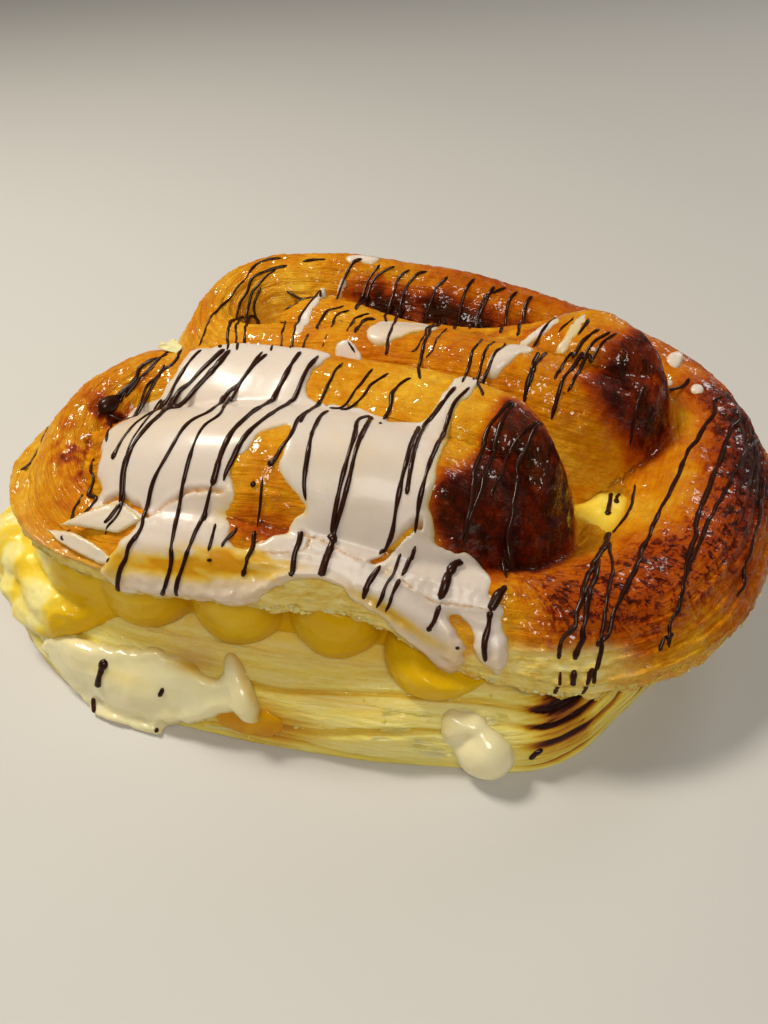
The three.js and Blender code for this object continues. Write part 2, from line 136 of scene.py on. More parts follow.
def strand(x,y,chunk=8000):
    """blended strand height, arc length along the strand and signed distance across it, and inset from the lid's edge"""
    x=np.asarray(x,float); y=np.asarray(y,float); sh=x.shape; X=x.ravel(); Y=y.ravel()
    H=np.empty(X.size); D=np.empty(X.size); U=np.empty(X.size); V=np.empty(X.size); ZC=np.empty(X.size)
    P=PATH; K=0.9
    for a in range(0,X.size,chunk):
        xx,yy=X[a:a+chunk],Y[a:a+chunk]
        dx=xx[:,None]-P[None,:,0]; dy=yy[:,None]-P[None,:,1]; d2=dx*dx+dy*dy
        side=TAN[None,:,0]*dy-TAN[None,:,1]*dx
        s=np.clip(side/3.0,-1,1)*0.5+0.5
        w=P[None,:,5]*(1-s)+P[None,:,3]*s; dr=P[None,:,6]*(1-s)+P[None,:,4]*s
        q=d2/(w*w); val=P[None,:,2]-dr*q-6*np.maximum(0,q-1)**2
        i=np.argmax(val,axis=1); r=np.arange(len(i)); m=val[r,i]
        wt=DSP[None]*np.sqrt(dr/(w*w)/(np.pi*K))
        H[a:a+chunk]=m+K*np.log((wt*np.exp(np.maximum((val-m[:,None])/K,-30))).sum(1)+0.25)
        U[a:a+chunk]=ARC[i]+TAN[i,0]*dx[r,i]+TAN[i,1]*dy[r,i]; V[a:a+chunk]=side[r,i]; ZC[a:a+chunk]=P[i,2]
        d=np.sqrt(d2); D[a:a+chunk]=(P[None,:,7]-d).max(1)
        do=d[:,RIM_FIRST*SAMPLES:RIM_LAST*SAMPLES+1]; j=np.argmin(do,axis=1)
        ins=inpoly(xx,yy,RIM)
        D[a:a+chunk]=np.where(ins,np.maximum(D[a:a+chunk],RIM[j,7]+do[r,j]),D[a:a+chunk])
        f=(xx>-47)&(xx<-20)&(np.abs(yy-3)<14)
        D[a:a+chunk]=np.where(f,np.maximum(D[a:a+chunk],np.clip((xx+47)*1.2,-20,14)),D[a:a+chunk])
    H=H+2.2*np.exp(-((X-15)/4.6)**2-((Y+33)/4.2)**2)
    return H.reshape(sh),D.reshape(sh),U.reshape(sh),V.reshape(sh),ZC.reshape(sh)
def lid_top(x,H,D):
    e=underside(x)+WALL; t=np.clip(D/RIMW,0,1)
    return e+(np.maximum(H,e)-e)*np.sqrt(1-(1-t)**2)
def base_inset(x,y): return sdf(x,y,BASELOOP)
def base_top(x,D):
    t=np.clip(D/BSLOPE,0,1); hi=BTOP-BSINK*sm((x-10)/50)
    return EDGE+(hi-EDGE)*np.sqrt(1-(1-t)**2.2)

# ------------------------------------------------------------------ grids and meshes
VOX = 0.5
X0, Y0, Z0 = -100.0, -74.0, -1.5
def axis(lo, hi, h=VOX): return np.arange(int(round((hi - lo) / h)) + 1) * h + lo
def lookup(A, x, y, x0, y0, h, near=None):
    """bilinear sample; where the four corners differ by more than `near`, the nearest one"""
    fx, fy = (x - x0) / h, (y - y0) / h
    i = np.clip(np.floor(fx).astype(int), 0, A.shape[0] - 2); j = np.clip(np.floor(fy).astype(int), 0, A.shape[1] - 2)
    tx, ty = np.clip(fx - i, 0, 1), np.clip(fy - j, 0, 1)
    a, b, c, d = A[i, j], A[i + 1, j], A[i, j + 1], A[i + 1, j + 1]
    v = (a * (1 - tx) + b * tx) * (1 - ty) + (c * (1 - tx) + d * tx) * ty
    if near is not None:
        spread = np.maximum.reduce([a, b, c, d]) - np.minimum.reduce([a, b, c, d])
        nn = np.where(tx < 0.5, np.where(ty < 0.5, a, c), np.where(ty < 0.5, b, d))
        v = np.where(spread > near, nn, v)
    return v
def grad_len(f, h=VOX):
    g = np.gradient(f.astype(np.float32), h)
    return np.sqrt(g[0] ** 2 + g[1] ** 2 + g[2] ** 2)
def polygonize(phi, org, h=VOX, adapt=0.0):
    """phi > 0 inside -> points in mm, faces (n,4) with outward normals"""
    a = np.clip(-phi, -3 * h, 3 * h).astype(np.float32)
    a = np.pad(a, 1, constant_values=3 * h)
    g = openvdb.FloatGrid(3.0 * h)
    g.copyFromArray(np.ascontiguousarray(a))
    p, t, q = g.convertToPolygons(isovalue=0.0, adaptivity=adapt)
    p = (np.asarray(p, float) - 1.0) * h + np.array(org)
    q = np.asarray(q, np.int64).reshape(-1, 4); t = np.asarray(t, np.int64).reshape(-1, 3)
    return p, q, t
def distance_grid(p, q, shape, org, h=VOX, band=10.0):
    """true distance to a closed mesh on a grid, mm, positive inside"""
    g = openvdb.FloatGrid.createLevelSetFromPolygons(np.ascontiguousarray(((p - np.array(org)) / h).astype(np.float32)), quads=np.ascontiguousarray(q.astype(np.uint32)),
                                                     transform=openvdb.createLinearTransform(voxelSize=1.0), halfWidth=band)
    A = np.zeros(shape, np.float32); g.copyToArray(A)
    return -A * h
def keep_big(p, q, least=400):
    """drops islands of fewer than `least` points"""
    lab = np.arange(len(p))
    for _ in range(400):
        m = lab[q].min(1); new = lab.copy()
        np.minimum.at(new, q.ravel(), np.repeat(m, q.shape[1]))
        new = new[new]
        if (new == lab).all(): break
        lab = new
    u, inv, cnt = np.unique(lab, return_inverse=True, return_counts=True)
    ok = (cnt >= least)[inv]
    idx = np.cumsum(ok) - 1
    return p[ok], idx[q[ok[q[:, 0]]]]
def normals(p, q):
    n = np.zeros_like(p)
    fn = np.cross(p[q[:, 2]] - p[q[:, 0]], p[q[:, -1]] - p[q[:, 1]]) if q.shape[1] == 4 else np.cross(p[q[:, 1]] - p[q[:, 0]], p[q[:, 2]] - p[q[:, 0]])
    for k in range(q.shape[1]): np.add.at(n, q[:, k], fn)
    return n / (np.linalg.norm(n, axis=1, keepdims=True) + 1e-12)
def relax(p, q, w=0.5, times=1):
    """evens out stair steps that the grid leaves"""
    for _ in range(times):
        s = np.zeros_like(p); c = np.zeros(len(p))
        for k in range(q.shape[1]):
            a, b = q[:, k], q[:, (k + 1) % q.shape[1]]
            np.add.at(s, a, p[b]); np.add.at(c, a, 1); np.add.at(s, b, p[a]); np.add.at(c, b, 1)
        p = p * (1 - w) + w * s / np.maximum(c, 1)[:, None]
    return p
MOST = 190000
def emit(name, p, faces, attrs=None, mat=None, replaces=None, smooth=True):
    """one mesh object from points in mm; `faces` is a list of (n,k) index arrays; flat stretches are thinned down to MOST triangles"""
    me = bpy.data.meshes.new(name)
    faces = [f for f in (faces if isinstance(faces, (list, tuple)) else [faces]) if len(f)]
    co = ((p + SHIFT) * 0.001).astype(np.float32)
    nl = sum(f.size for f in faces); nf = sum(len(f) for f in faces)
    me.vertices.add(len(co)); me.vertices.foreach_set("co", co.ravel())
    me.loops.add(nl); me.loops.foreach_set("vertex_index", np.concatenate([f.ravel() for f in faces]).astype(np.int32))
    tot = np.concatenate([np.full(len(f), f.shape[1]) for f in faces]).astype(np.int32)
    me.polygons.add(nf)
    me.polygons.foreach_set("loop_start", np.concatenate([[0], np.cumsum(tot)[:-1]]).astype(np.int32))
    me.polygons.foreach_set("loop_total", tot)
    me.polygons.foreach_set("use_smooth", np.full(nf, smooth))
    for k, v in (attrs or {}).items():
        a = me.attributes.new(k, "FLOAT", "POINT"); a.data.foreach_set("value", np.asarray(v, np.float32).ravel())
    me.update(); me.validate()
    ob = bpy.data.objects.new(name, me); scene.collection.objects.link(ob)
    if mat: me.materials.append(mat)
    if (tot - 2).sum() > MOST:
        thin = ob.modifiers.new("thin", "DECIMATE"); thin.ratio = MOST / float((tot - 2).sum())
        with bpy.context.temp_override(object=ob, active_object=ob, selected_objects=[ob], selected_editable_objects=[ob]): bpy.ops.object.modifier_apply(modifier=thin.name)
    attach(ob, "root")
    if replaces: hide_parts(*([replaces] if isinstance(replaces, str) else replaces))
    print("piece", name, len(ob.data.vertices), "points", sum(k - 2 for k in (len(f.vertices) for f in ob.data.polygons)), "triangles")
    return ob
def smin(a, b, k):
    h = np.clip(0.5 + 0.5 * (b - a) / k, 0, 1)
    return b * (1 - h) + a * h - k * h * (1 - h)
def smax(a, b, k): return -smin(-a, -b, k)
def blur(A, s, h=VOX):
    """gaussian blur of a plan field, s in mm"""
    r = int(3 * s / h); k = np.exp(-0.5 * (np.arange(-r, r + 1) * h / s) ** 2); k /= k.sum()
    B = np.pad(A, r, mode="edge")
    B = sum(k[i] * B[i:i + A.shape[0], :] for i in range(2 * r + 1))
    return sum(k[i] * B[:, i:i + A.shape[1]] for i in range(2 * r + 1))
# ------------------------------------------------------------------ plan fields
gx, gy = axis(-100, 93), axis(-74, 68)
GX, GY = np.meshgrid(gx, gy, indexing="ij")
H2, D2, U2, V2, ZC2 = strand(GX, GY)
E2 = underside(GX) + WALL
LT2 = lid_top(GX, H2, D2)
BD2 = base_inset(GX, GY)
BT2 = base_top(GX, BD2)
def at(A, x, y, near=None): return lookup(A, x, y, gx[0], gy[0], VOX, near)
def window(lo, hi):
    i = slice(int(round((lo[0] - gx[0]) / VOX)), int(round((hi[0] - gx[0]) / VOX)) + 1)
    j = slice(int(round((lo[1] - gy[0]) / VOX)), int(round((hi[1] - gy[0]) / VOX)) + 1)
    return i, j
LID_LO, LID_HI = (-86.0, -66.0, 14.0), (93.0, 66.0, 60.0)
li, lj = window(LID_LO, LID_HI)
lz = axis(LID_LO[2], LID_HI[2])
# the gap beside the strand, in plan
HOLE_OUT = np.array([[38.6,0.6],[40.9,1.8],[42.5,2.6],[44.5,4.5],[47.1,6.3],[49.4,6.4],[50.6,4.6],[50.6,0.5],[50.0,-3.5],[49.1,-6.8],[48.3,-9.6],[47.4,-11.4],[46.3,-9.4],[45.0,-6.6],[43.4,-4.4],[41.0,-2.8],[38.6,-1.8]])
def lid_field():
    """distance inside the lid, in mm, for the smooth form"""
    Hh, Dd, Ee = H2[li, lj], D2[li, lj], E2[li, lj]
    A = np.maximum(Hh - Ee, 0.6)[:, :, None]
    u = 1 - np.clip(Dd / RIMW, -1.5, 1)[:, :, None]
    w = np.maximum(lz[None, None, :] - Ee[:, :, None], 0) / A
    f = (1 - np.sqrt(u * u + w * w)).astype(np.float32)
    phi = f / np.maximum(grad_len(f), 0.012)
    dh = -sdf(GX[li, lj], GY[li, lj], HOLE_OUT)
    k = np.clip(0.5 + 0.5 * (dh[:, :, None] - phi) / 1.2, 0, 1)
    phi = (dh[:, :, None] * (1 - k) + phi * k - 1.2 * k * (1 - k)).astype(np.float32)
    bottom = (lz[None, None, :] - underside(GX[li, lj])[:, :, None]).astype(np.float32)
    return phi, bottom
LID_TOP_PHI, LID_BOT = lid_field()
# ------------------------------------------------------------------ materials
class Mat:
    """small helper that builds a node tree"""
    def __init__(self, name):
        self.m = bpy.data.materials.new(name); self.m.use_nodes = True
        self.t = self.m.node_tree; self.t.nodes.clear()
        self.out = self.t.nodes.new("ShaderNodeOutputMaterial")
        self.b = self.t.nodes.new("ShaderNodeBsdfPrincipled")
        self.t.links.new(self.b.outputs[0], self.out.inputs[0])
        co = self.t.nodes.new("ShaderNodeTexCoord"); self.obj = co.outputs["Object"]
    def put(self, sock, v):
        if v is None: return
        if hasattr(v, "is_linked") or isinstance(v, bpy.types.NodeSocket): self.t.links.new(v, sock)
        else: sock.default_value = v
    def attr(self, name):
        n = self.t.nodes.new("ShaderNodeAttribute"); n.attribute_name = name
        return n.outputs["Fac"]
    def math(self, op, a, b=None, c=None, clamp=False):
        n = self.t.nodes.new("ShaderNodeMath"); n.operation = op; n.use_clamp = clamp
        self.put(n.inputs[0], a); self.put(n.inputs[1], b)
        if c is not None: self.put(n.inputs[2], c)
        return n.outputs[0]
    def add(self, a, b): return self.math("ADD", a, b)
    def mul(self, a, b): return self.math("MULTIPLY", a, b)
    def rng(self, v, a, b, c=0.0, d=1.0, smooth=True):
        n = self.t.nodes.new("ShaderNodeMapRange"); n.interpolation_type = "SMOOTHSTEP" if smooth else "LINEAR"
        self.put(n.inputs[0], v)
        for i, q in zip((1, 2, 3, 4), (a, b, c, d)): self.put(n.inputs[i], q)
        return n.outputs[0]
    def vec(self, x, y, z):
        n = self.t.nodes.new("ShaderNodeCombineXYZ")
        for i, q in enumerate((x, y, z)): self.put(n.inputs[i], q)
        return n.outputs[0]
    def scaled(self, v, s):
        n = self.t.nodes.new("ShaderNodeMapping"); n.inputs["Scale"].default_value = s
        self.put(n.inputs[0], v); return n.outputs[0]
    def noise(self, v, scale, detail=3.0, rough=0.5, dist=0.0):
        n = self.t.nodes.new("ShaderNodeTexNoise"); self.put(n.inputs["Vector"], v)
        n.inputs["Scale"].default_value = scale; n.inputs["Detail"].default_value = detail
        n.inputs["Roughness"].default_value = rough; n.inputs["Distortion"].default_value = dist
        return n.outputs["Fac"]
    def voro(self, v, scale, feature="F1", rnd=1.0):
        n = self.t.nodes.new("ShaderNodeTexVoronoi"); n.feature = feature; self.put(n.inputs["Vector"], v)
        n.inputs["Scale"].default_value = scale; n.inputs["Randomness"].default_value = rnd
        return n.outputs["Distance"]
    def ramp(self, v, stops):
        n = self.t.nodes.new("ShaderNodeValToRGB"); self.put(n.inputs[0], v)
        e = n.color_ramp.elements
        while len(e) < len(stops): e.new(0.5)
        for el, (p, c) in zip(e, stops): el.position = p; el.color = (*srgb(c), 1)
        return n.outputs[0]
    def mix(self, f, a, b, mode="MIX"):
        n = self.t.nodes.new("ShaderNodeMix"); n.data_type = "RGBA"; n.blend_type = mode
        self.put(n.inputs[0], f)
        for i, q in ((6, a), (7, b)): self.put(n.inputs[i], (*srgb(q), 1) if isinstance(q, tuple) and len(q) == 3 else q)
        return n.outputs[2]
    def bump(self, height, strength=0.5, dist=0.001, base=None):
        n = self.t.nodes.new("ShaderNodeBump"); n.inputs["Strength"].default_value = strength; n.inputs["Distance"].default_value = dist
        self.put(n.inputs["Height"], height)
        if base is not None: self.put(n.inputs["Normal"], base)
        return n.outputs[0]
    def set(self, **k):
        for a, v in k.items():
            self.put(self.b.inputs[a.replace("_", " ")], v)
        return self.m
def lin(c): return c / 12.92 if c <= 0.04045 else ((c + 0.055) / 1.055) ** 2.4
def srgb(c): return tuple(lin(v / 255.0) for v in c)

def crust_material():
    m = Mat("glazed_crust")
    toast, s, sig, crumb, dash, lam = (m.attr(k) for k in ("toast", "s", "sig", "crumb", "dash", "lam"))
    rad, ang = m.attr("rad"), m.attr("ang")
    o = m.obj
    along = m.vec(m.mul(s, 0.13), m.mul(sig, 1.30), 0.0)
    fine = m.vec(m.mul(s, 0.32), m.mul(sig, 3.4), 0.0)
    n_str = m.noise(along, 1.0, 3.0, 0.6)
    n_fin = m.noise(fine, 1.0, 2.0, 0.5)
    n_big = m.noise(o, 78.0, 4.0, 0.6, 0.4)
    n_mot = m.noise(o, 380.0, 4.0, 0.62, 0.3)
    t = m.add(toast, m.mul(m.add(n_str, -0.5), m.add(0.15, m.mul(lam, 0.17))))
    t = m.add(t, m.mul(m.add(n_fin, -0.5), m.add(0.05, m.mul(lam, 0.15))))
    t = m.add(t, m.mul(m.add(n_big, -0.5), 0.42))
    t = m.add(t, m.mul(m.add(n_mot, -0.5), 0.30))
    # short dark wrinkles that fan out over the broad end
    streak = m.noise(m.vec(m.mul(rad, 0.34), m.mul(ang, 19.0), m.mul(toast, 2.0)), 1.0, 4.0, 0.62, 0.8)
    blot = m.noise(o, 470.0, 5.0, 0.75, 0.6)
    mark = m.rng(m.add(m.mul(streak, 0.42), m.mul(blot, 0.62)), 0.50, 0.60)
    t = m.add(t, m.mul(m.mul(mark, dash), 0.34))
    color = m.ramp(t, [(0.0, (240, 204, 100)), (0.14, (233, 178, 44)), (0.30, (213, 136, 8)), (0.44, (190, 95, 3)),
                       (0.58, (160, 62, 2)), (0.72, (112, 28, 2)), (0.86, (66, 11, 3)), (1.0, (36, 5, 3))])
    crumbcol = m.ramp(m.noise(m.scaled(o, (1, 1, 3.5)), 240.0, 4.0, 0.6), [(0.25, (214, 164, 52)), (0.5, (237, 210, 112)), (0.75, (247, 232, 166))])
    col = m.mix(crumb, color, crumbcol)
    h = m.add(m.mul(n_str, 0.9), m.mul(n_fin, m.add(0.12, m.mul(lam, 0.6))))
    h = m.add(h, m.mul(m.noise(o, 900.0, 3.0, 0.6), 0.30))
    h = m.add(h, m.mul(n_mot, 0.9))
    nrm = m.bump(h, 0.75, 0.0007)
    # the dried glaze is wet-looking only in small patches
    hc = m.noise(o, 330.0, 2.0, 0.55)
    patch = m.rng(m.noise(o, 230.0, 4.0, 0.65), 0.47, 0.55)
    coat = m.mul(m.mul(patch, m.rng(crumb, 0.1, 0.8, 1.0, 0.1)), m.rng(lam, 0.0, 1.0, 0.85, 0.45))
    m.set(Base_Color=col, Roughness=m.rng(crumb, 0, 1, 0.44, 0.70), Normal=nrm, Specular_IOR_Level=0.20, Specular_Tint=(1.0, 0.62, 0.20, 1.0),
          Coat_Weight=coat, Coat_Roughness=0.035, Coat_Normal=m.bump(hc, 0.75, 0.0013),
          Subsurface_Weight=0.06, Subsurface_Radius=(1.0, 0.6, 0.25), Subsurface_Scale=0.0016, IOR=1.47)
    return m.m

def base_material():
    m = Mat("pastry_crumb")
    o = m.obj; toast, lay, wet = m.attr("toast"), m.attr("lay"), m.attr("wet")
    zs = m.scaled(o, (0.55, 0.55, 6.0))
    n1 = m.noise(zs, 170.0, 4.0, 0.6); n2 = m.noise(zs, 560.0, 3.0, 0.6); n3 = m.noise(o, 60.0, 3.0, 0.5)
    t = m.add(toast, m.mul(m.add(n1, -0.5), 0.30)); t = m.add(t, m.mul(m.add(n3, -0.5), 0.20)); t = m.add(t, m.mul(m.add(n2, -0.5), 0.14))
    t = m.add(t, m.mul(lay, -0.08))
    col = m.ramp(t, [(0.0, (250, 236, 160)), (0.20, (244, 222, 112)), (0.38, (234, 200, 66)), (0.55, (212, 156, 26)), (0.70, (168, 98, 10)),
                     (0.85, (104, 40, 14)), (1.0, (46, 14, 9))])
    col = m.mix(m.mul(m.attr("amber"), m.rng(n1, 0.3, 0.6, 0.82, 1.0)), col, m.ramp(n3, [(0.3, (194, 114, 0)), (0.7, (216, 150, 8))]))
    h = m.add(m.mul(n1, 0.9), m.mul(n2, 0.5)); h = m.add(h, m.mul(m.noise(o, 1100.0, 2.0, 0.6), 0.2))
    m.set(Base_Color=col, Roughness=m.rng(wet, 0, 1, 0.55, 0.24), Normal=m.bump(h, 0.80, 0.0007), Coat_Weight=m.mul(m.rng(wet, 0, 1, 0.25, 0.9), m.rng(m.noise(o, 260.0, 3.0, 0.6), 0.48, 0.60)), Coat_Roughness=0.06,
          Specular_IOR_Level=0.3, Subsurface_Weight=0.35, Subsurface_Radius=(1.0, 0.62, 0.22), Subsurface_Scale=0.003)
    return m.m

def cream_material():
    m = Mat("custard_cream")
    o = m.obj
    n1 = m.noise(o, 90.0, 3.0, 0.5); n2 = m.noise(o, 420.0, 3.0, 0.55)
    pale = m.attr("pale")
    t = m.add(m.mul(n1, 0.7), m.mul(pale, 0.6))
    col = m.ramp(t, [(0.1, (216, 162, 2)), (0.4, (226, 180, 10)), (0.75, (240, 212, 74)), (1.0, (246, 233, 158))])
    m.set(Base_Color=col, Roughness=0.34, Normal=m.bump(m.add(n2, m.mul(n1, 0.5)), 0.30, 0.0007), Specular_IOR_Level=0.32, Specular_Tint=(1.0, 0.86, 0.48, 1.0), Coat_Weight=0.18, Coat_Roughness=0.08,
          Subsurface_Weight=0.24, Subsurface_Radius=(1.0, 0.75, 0.30), Subsurface_Scale=0.003, IOR=1.4)
    return m.m
# ------------------------------------------------------------------ the lid
TIP_F = np.array([[13.2,-37.5],[13.4,-32.4],[17.4,-25.4],[19.4,-14.8],[21.3,-6.2],[26.7,-6.0],[30.4,-8.6],[35,-9],[39.4,-11.0],[40.5,-17.0],[39,-22.5],[34,-31],[29,-35],[24,-37.3],[18,-38.5]])
TIP_B = np.array([[36.5,12.5],[38.4,18.5],[42.6,27],[46.1,33],[52,31],[57.5,24],[58,18],[55.1,13.0],[49.8,10.7],[44.1,10.2]])
VALLEY = np.array([[-27,36],[-19,38.6],[-3.5,40.2],[12,41],[24,41],[34,40],[33,35],[23,33],[10,31],[-7,31.5],[-20,32.5]])
LOOP_A = np.array([[30,-37],[36,-31],[44,-24],[52,-17],[60,-10],[68,-2],[75,-6],[72,-16],[66,-27],[58,-36],[48,-42],[38,-44]])
LOOP_B = np.array([[60,33],[66,26],[67,14],[66,4],[67,-4],[73,-4],[79,4],[81,14],[78,27],[70,36]])
def fade(p, x, y, soft):
    """1 inside a plan outline, falling to 0 over `soft` mm either side of it"""
    return sm(sdf(x, y, p) / (2 * soft) + 0.5)
def spot(x, y, cx, cy, rx, ry, a=0.0):
    c, s = math.cos(math.radians(a)), math.sin(math.radians(a))
    u, v = ((x - cx) * c + (y - cy) * s) / rx, (-(x - cx) * s + (y - cy) * c) / ry
    return np.exp(-(u * u + v * v))
def toast_field(x, y):
    t = 0.31 + 0.07 * fbm(x / 14, y / 14, 0, 3, 5)
    mott = sm(1.6 * fbm(x / 2.6, y / 2.6, 0, 3, 7) + 0.35)
    t = t + 0.52 * mott * spot(x, y, -63.5, -34, 5, 8, 20) + 0.46 * mott * spot(x, y, -60, -21.5, 7, 4, 40) - 0.09 * spot(x, y, -74, -30, 5, 22, 0)
    t = t + (mott - 0.5) * (0.30 * fade(VALLEY, x, y, 3.5) + 0.12 * fade(TIP_F, x, y, 3) + 0.14 * fade(TIP_B, x, y, 3))
    t = t + 0.20 * mott * spot(x, y, 24, -38.5, 7, 2.5) + 0.16 * mott * spot(x, y, 20, 26, 10, 4)
    t = t - 0.02 * spot(x, y, -60, 24, 14, 16) - 0.08 * spot(x, y, -38, 33, 12, 7) - 0.06 * spot(x, y, 5, -10, 22, 8)
    t = t + 0.34 * spot(x, y, -15, -45.5, 9, 2.8) + 0.12 * spot(x, y, 16, -30, 6, 5)
    t = t + 0.52 * fade(TIP_F, x, y, 2.2) + 0.46 * fade(TIP_B, x, y, 3.0) + 0.54 * fade(VALLEY, x, y, 2.5)
    t = t + 0.11 * sm((x + 22) / 20) * sm((y - 36) / 8) + 0.05 * sm((x + 20) / 14) * sm((y - 6) / 6) * sm((30 - y) / 6)
    # the rise past x = 68 is partly the browned broad end and partly painted shade on its far side
    t = t + 0.24 * fade(LOOP_A, x, y, 7) + 0.28 * fade(LOOP_B, x, y, 6) - 0.10 * spot(x, y, 34, -38, 8, 6) + 0.20 * sm((x - 68) / 10) - 0.14 * spot(x, y, 60, 24, 6, 6) - 0.10 * spot(x, y, 52, -4, 8, 7)
    t = t + 0.10 * spot(x, y, 20, 52, 40, 4) + 0.14 * spot(x, y, 70, 36, 12, 8)
    return t

def make_lid():
    ragged = 0.9 * vn(gx[li][:, None] / 2.1, gy[lj][None, :] / 2.1, 0, 3) + 0.8 * vn(gx[li][:, None] / 7, gy[lj][None, :] / 7, 0, 4)
    edge = sm(1 - np.clip(D2[li, lj], 0, 9) / 9)
    phi = smin(LID_TOP_PHI, LID_BOT - (0.5 + ragged * edge)[:, :, None].astype(np.float32), 0.7)
    p, q, t = polygonize(phi, (gx[li][0], gy[lj][0], lz[0]))
    p = relax(p, q, 0.4, 1)
    p, q = keep_big(p, q, 2000)
    n = normals(p, q)
    x, y, z = p.T
    U, V, ZC = at(U2, x, y, 2.0), at(V2, x, y, 2.0), at(ZC2, x, y, 1.5)
    D, E = at(D2, x, y), underside(x) + WALL
    sig = np.sqrt(V * V + np.maximum(ZC - z, 0) ** 2) * np.sign(V)
    lift = 5.0 * sm((x + 27) / 6) * sm((22 - x) / 8) + 6.4 * sm((x - 22) / 8) * sm((66 - x) / 18) * sm((-24 - y) / 8)
    low = 1 - sm((z - E + 2.2 - lift * sm((-25 - y) / 8)) / 3.2)   # 1 on the raw cut wall
    under = sm((-n[:, 2] - 0.35) / 0.4)
    wall = low * (1 - under) * sm(1 - D / 9 + 0.4)
    # lamination: overlapping steps that run with the strand, and soft hollows across it
    def steps(a, lam, seed, soft=0.28):
        k = a / lam + 0.55 * vn(U / 16, a / (3 * lam), 0, seed)
        f = k - np.floor(k)
        g = np.where(f < 1 - soft, f / (1 - soft), (1 - f) / soft)
        return (g - 0.5) * (0.6 + 0.6 * vn(U / 11, np.floor(k) * 3.7, 0, seed + 1))
    left = sm((-44 - x) / 14) + 0.0
    rimR = sm((x - 52) / 12) * sm((14 - D) / 8)
    slope = sm((x + 64) / 8) * sm((-14 - x) / 12) * sm((y - 14) / 8)
    lam = np.clip(left + 1.2 * rimR + 0.6 * slope, 0, 1)
    amp = 0.18 + 0.50 * lam
    d = amp * steps(sig, 2.7, 21) + 0.5 * amp * steps(sig, 1.25, 31)
    d += 0.50 * fbm(x / 7.5, y / 7.5, z / 7.5, 3, 41) + 0.24 * fbm(x / 1.9, y / 1.9, z / 1.9, 2, 43)
    d += 0.30 * (0.45 - np.abs(fbm(U / 9, sig / 2.4, 0, 2, 47))) * sm((x + 40) / 14)
    rad = np.hypot(x - 27.5, y + 33); ang = np.arctan2(y + 33, x - 27.5)
    fan = sm((x - 26) / 8) * sm((48 - rad) / 20) * sm((8 - y) / 14)
    d += 0.34 * fan * vn(ang * 6.5, rad / 16, 0, 51) * sm(rad / 9)
    tip = np.maximum(fade(TIP_F, x, y, 2), fade(TIP_B, x, y, 2))
    d += 0.22 * tip * fbm(x / 2.4, y / 2.4, z / 2.4, 2, 61)
    rimz = sm((x - 46) / 12) * sm((E + 10.5 - z) / 5)            # stacked leaves round the foot of the broad end
    d += 0.62 * rimz * steps(z + 0.5 * fbm(x / 8, y / 8, 0, 2, 93), 2.1, 91) + 0.22 * rimz * steps(z, 0.95, 97)
    d *= (1 - wall) * (1 - under)
    lay = fbm(x / 9, y / 9, z / 0.95, 2, 71) * 0.75 + 0.35 * fbm(x / 2.2, y / 2.2, z / 0.8, 2, 72)
    d += wall * (lay * 1.25 - 0.35 + 0.10 * vn(x / 1.1, y / 1.1, z / 2.5, 75)) + under * sm((9 - D) / 6) * 0.6 * fbm(x / 2.5, y / 2.5, z / 2.5, 2, 73)
    p = p + n * d[:, None]
    brown_and_shaded_edge = sm((x - 46) / 12)                            # the broad end's edge is baked brown, and is also darkened here as painted shade on the side away from the key light
    toast = toast_field(x, y) - 0.10 * sm((ZC - z - 3) / 9) * (1 - tip) + 0.05 * brown_and_shaded_edge
    crumb = np.clip(np.maximum(wall, under) * (1 - 0.85 * sm((x - 48) / 10)) * sm((x + 84) / 24 + 0.1), 0, 1)
    crumb = np.maximum(crumb, under)
    dash = np.clip(fade(LOOP_A, x, y, 5) + fade(LOOP_B, x, y, 5) + 0.25 * tip, 0, 1)
    emit("palmier_lid", p, q, dict(toast=toast, s=U, sig=sig, crumb=crumb, dash=dash, rad=rad, ang=ang, lam=np.clip(lam + 0.7 * rimz, 0, 1) * (1 - tip)), CRUST, "top_pastry")
    return p, q, n, wall

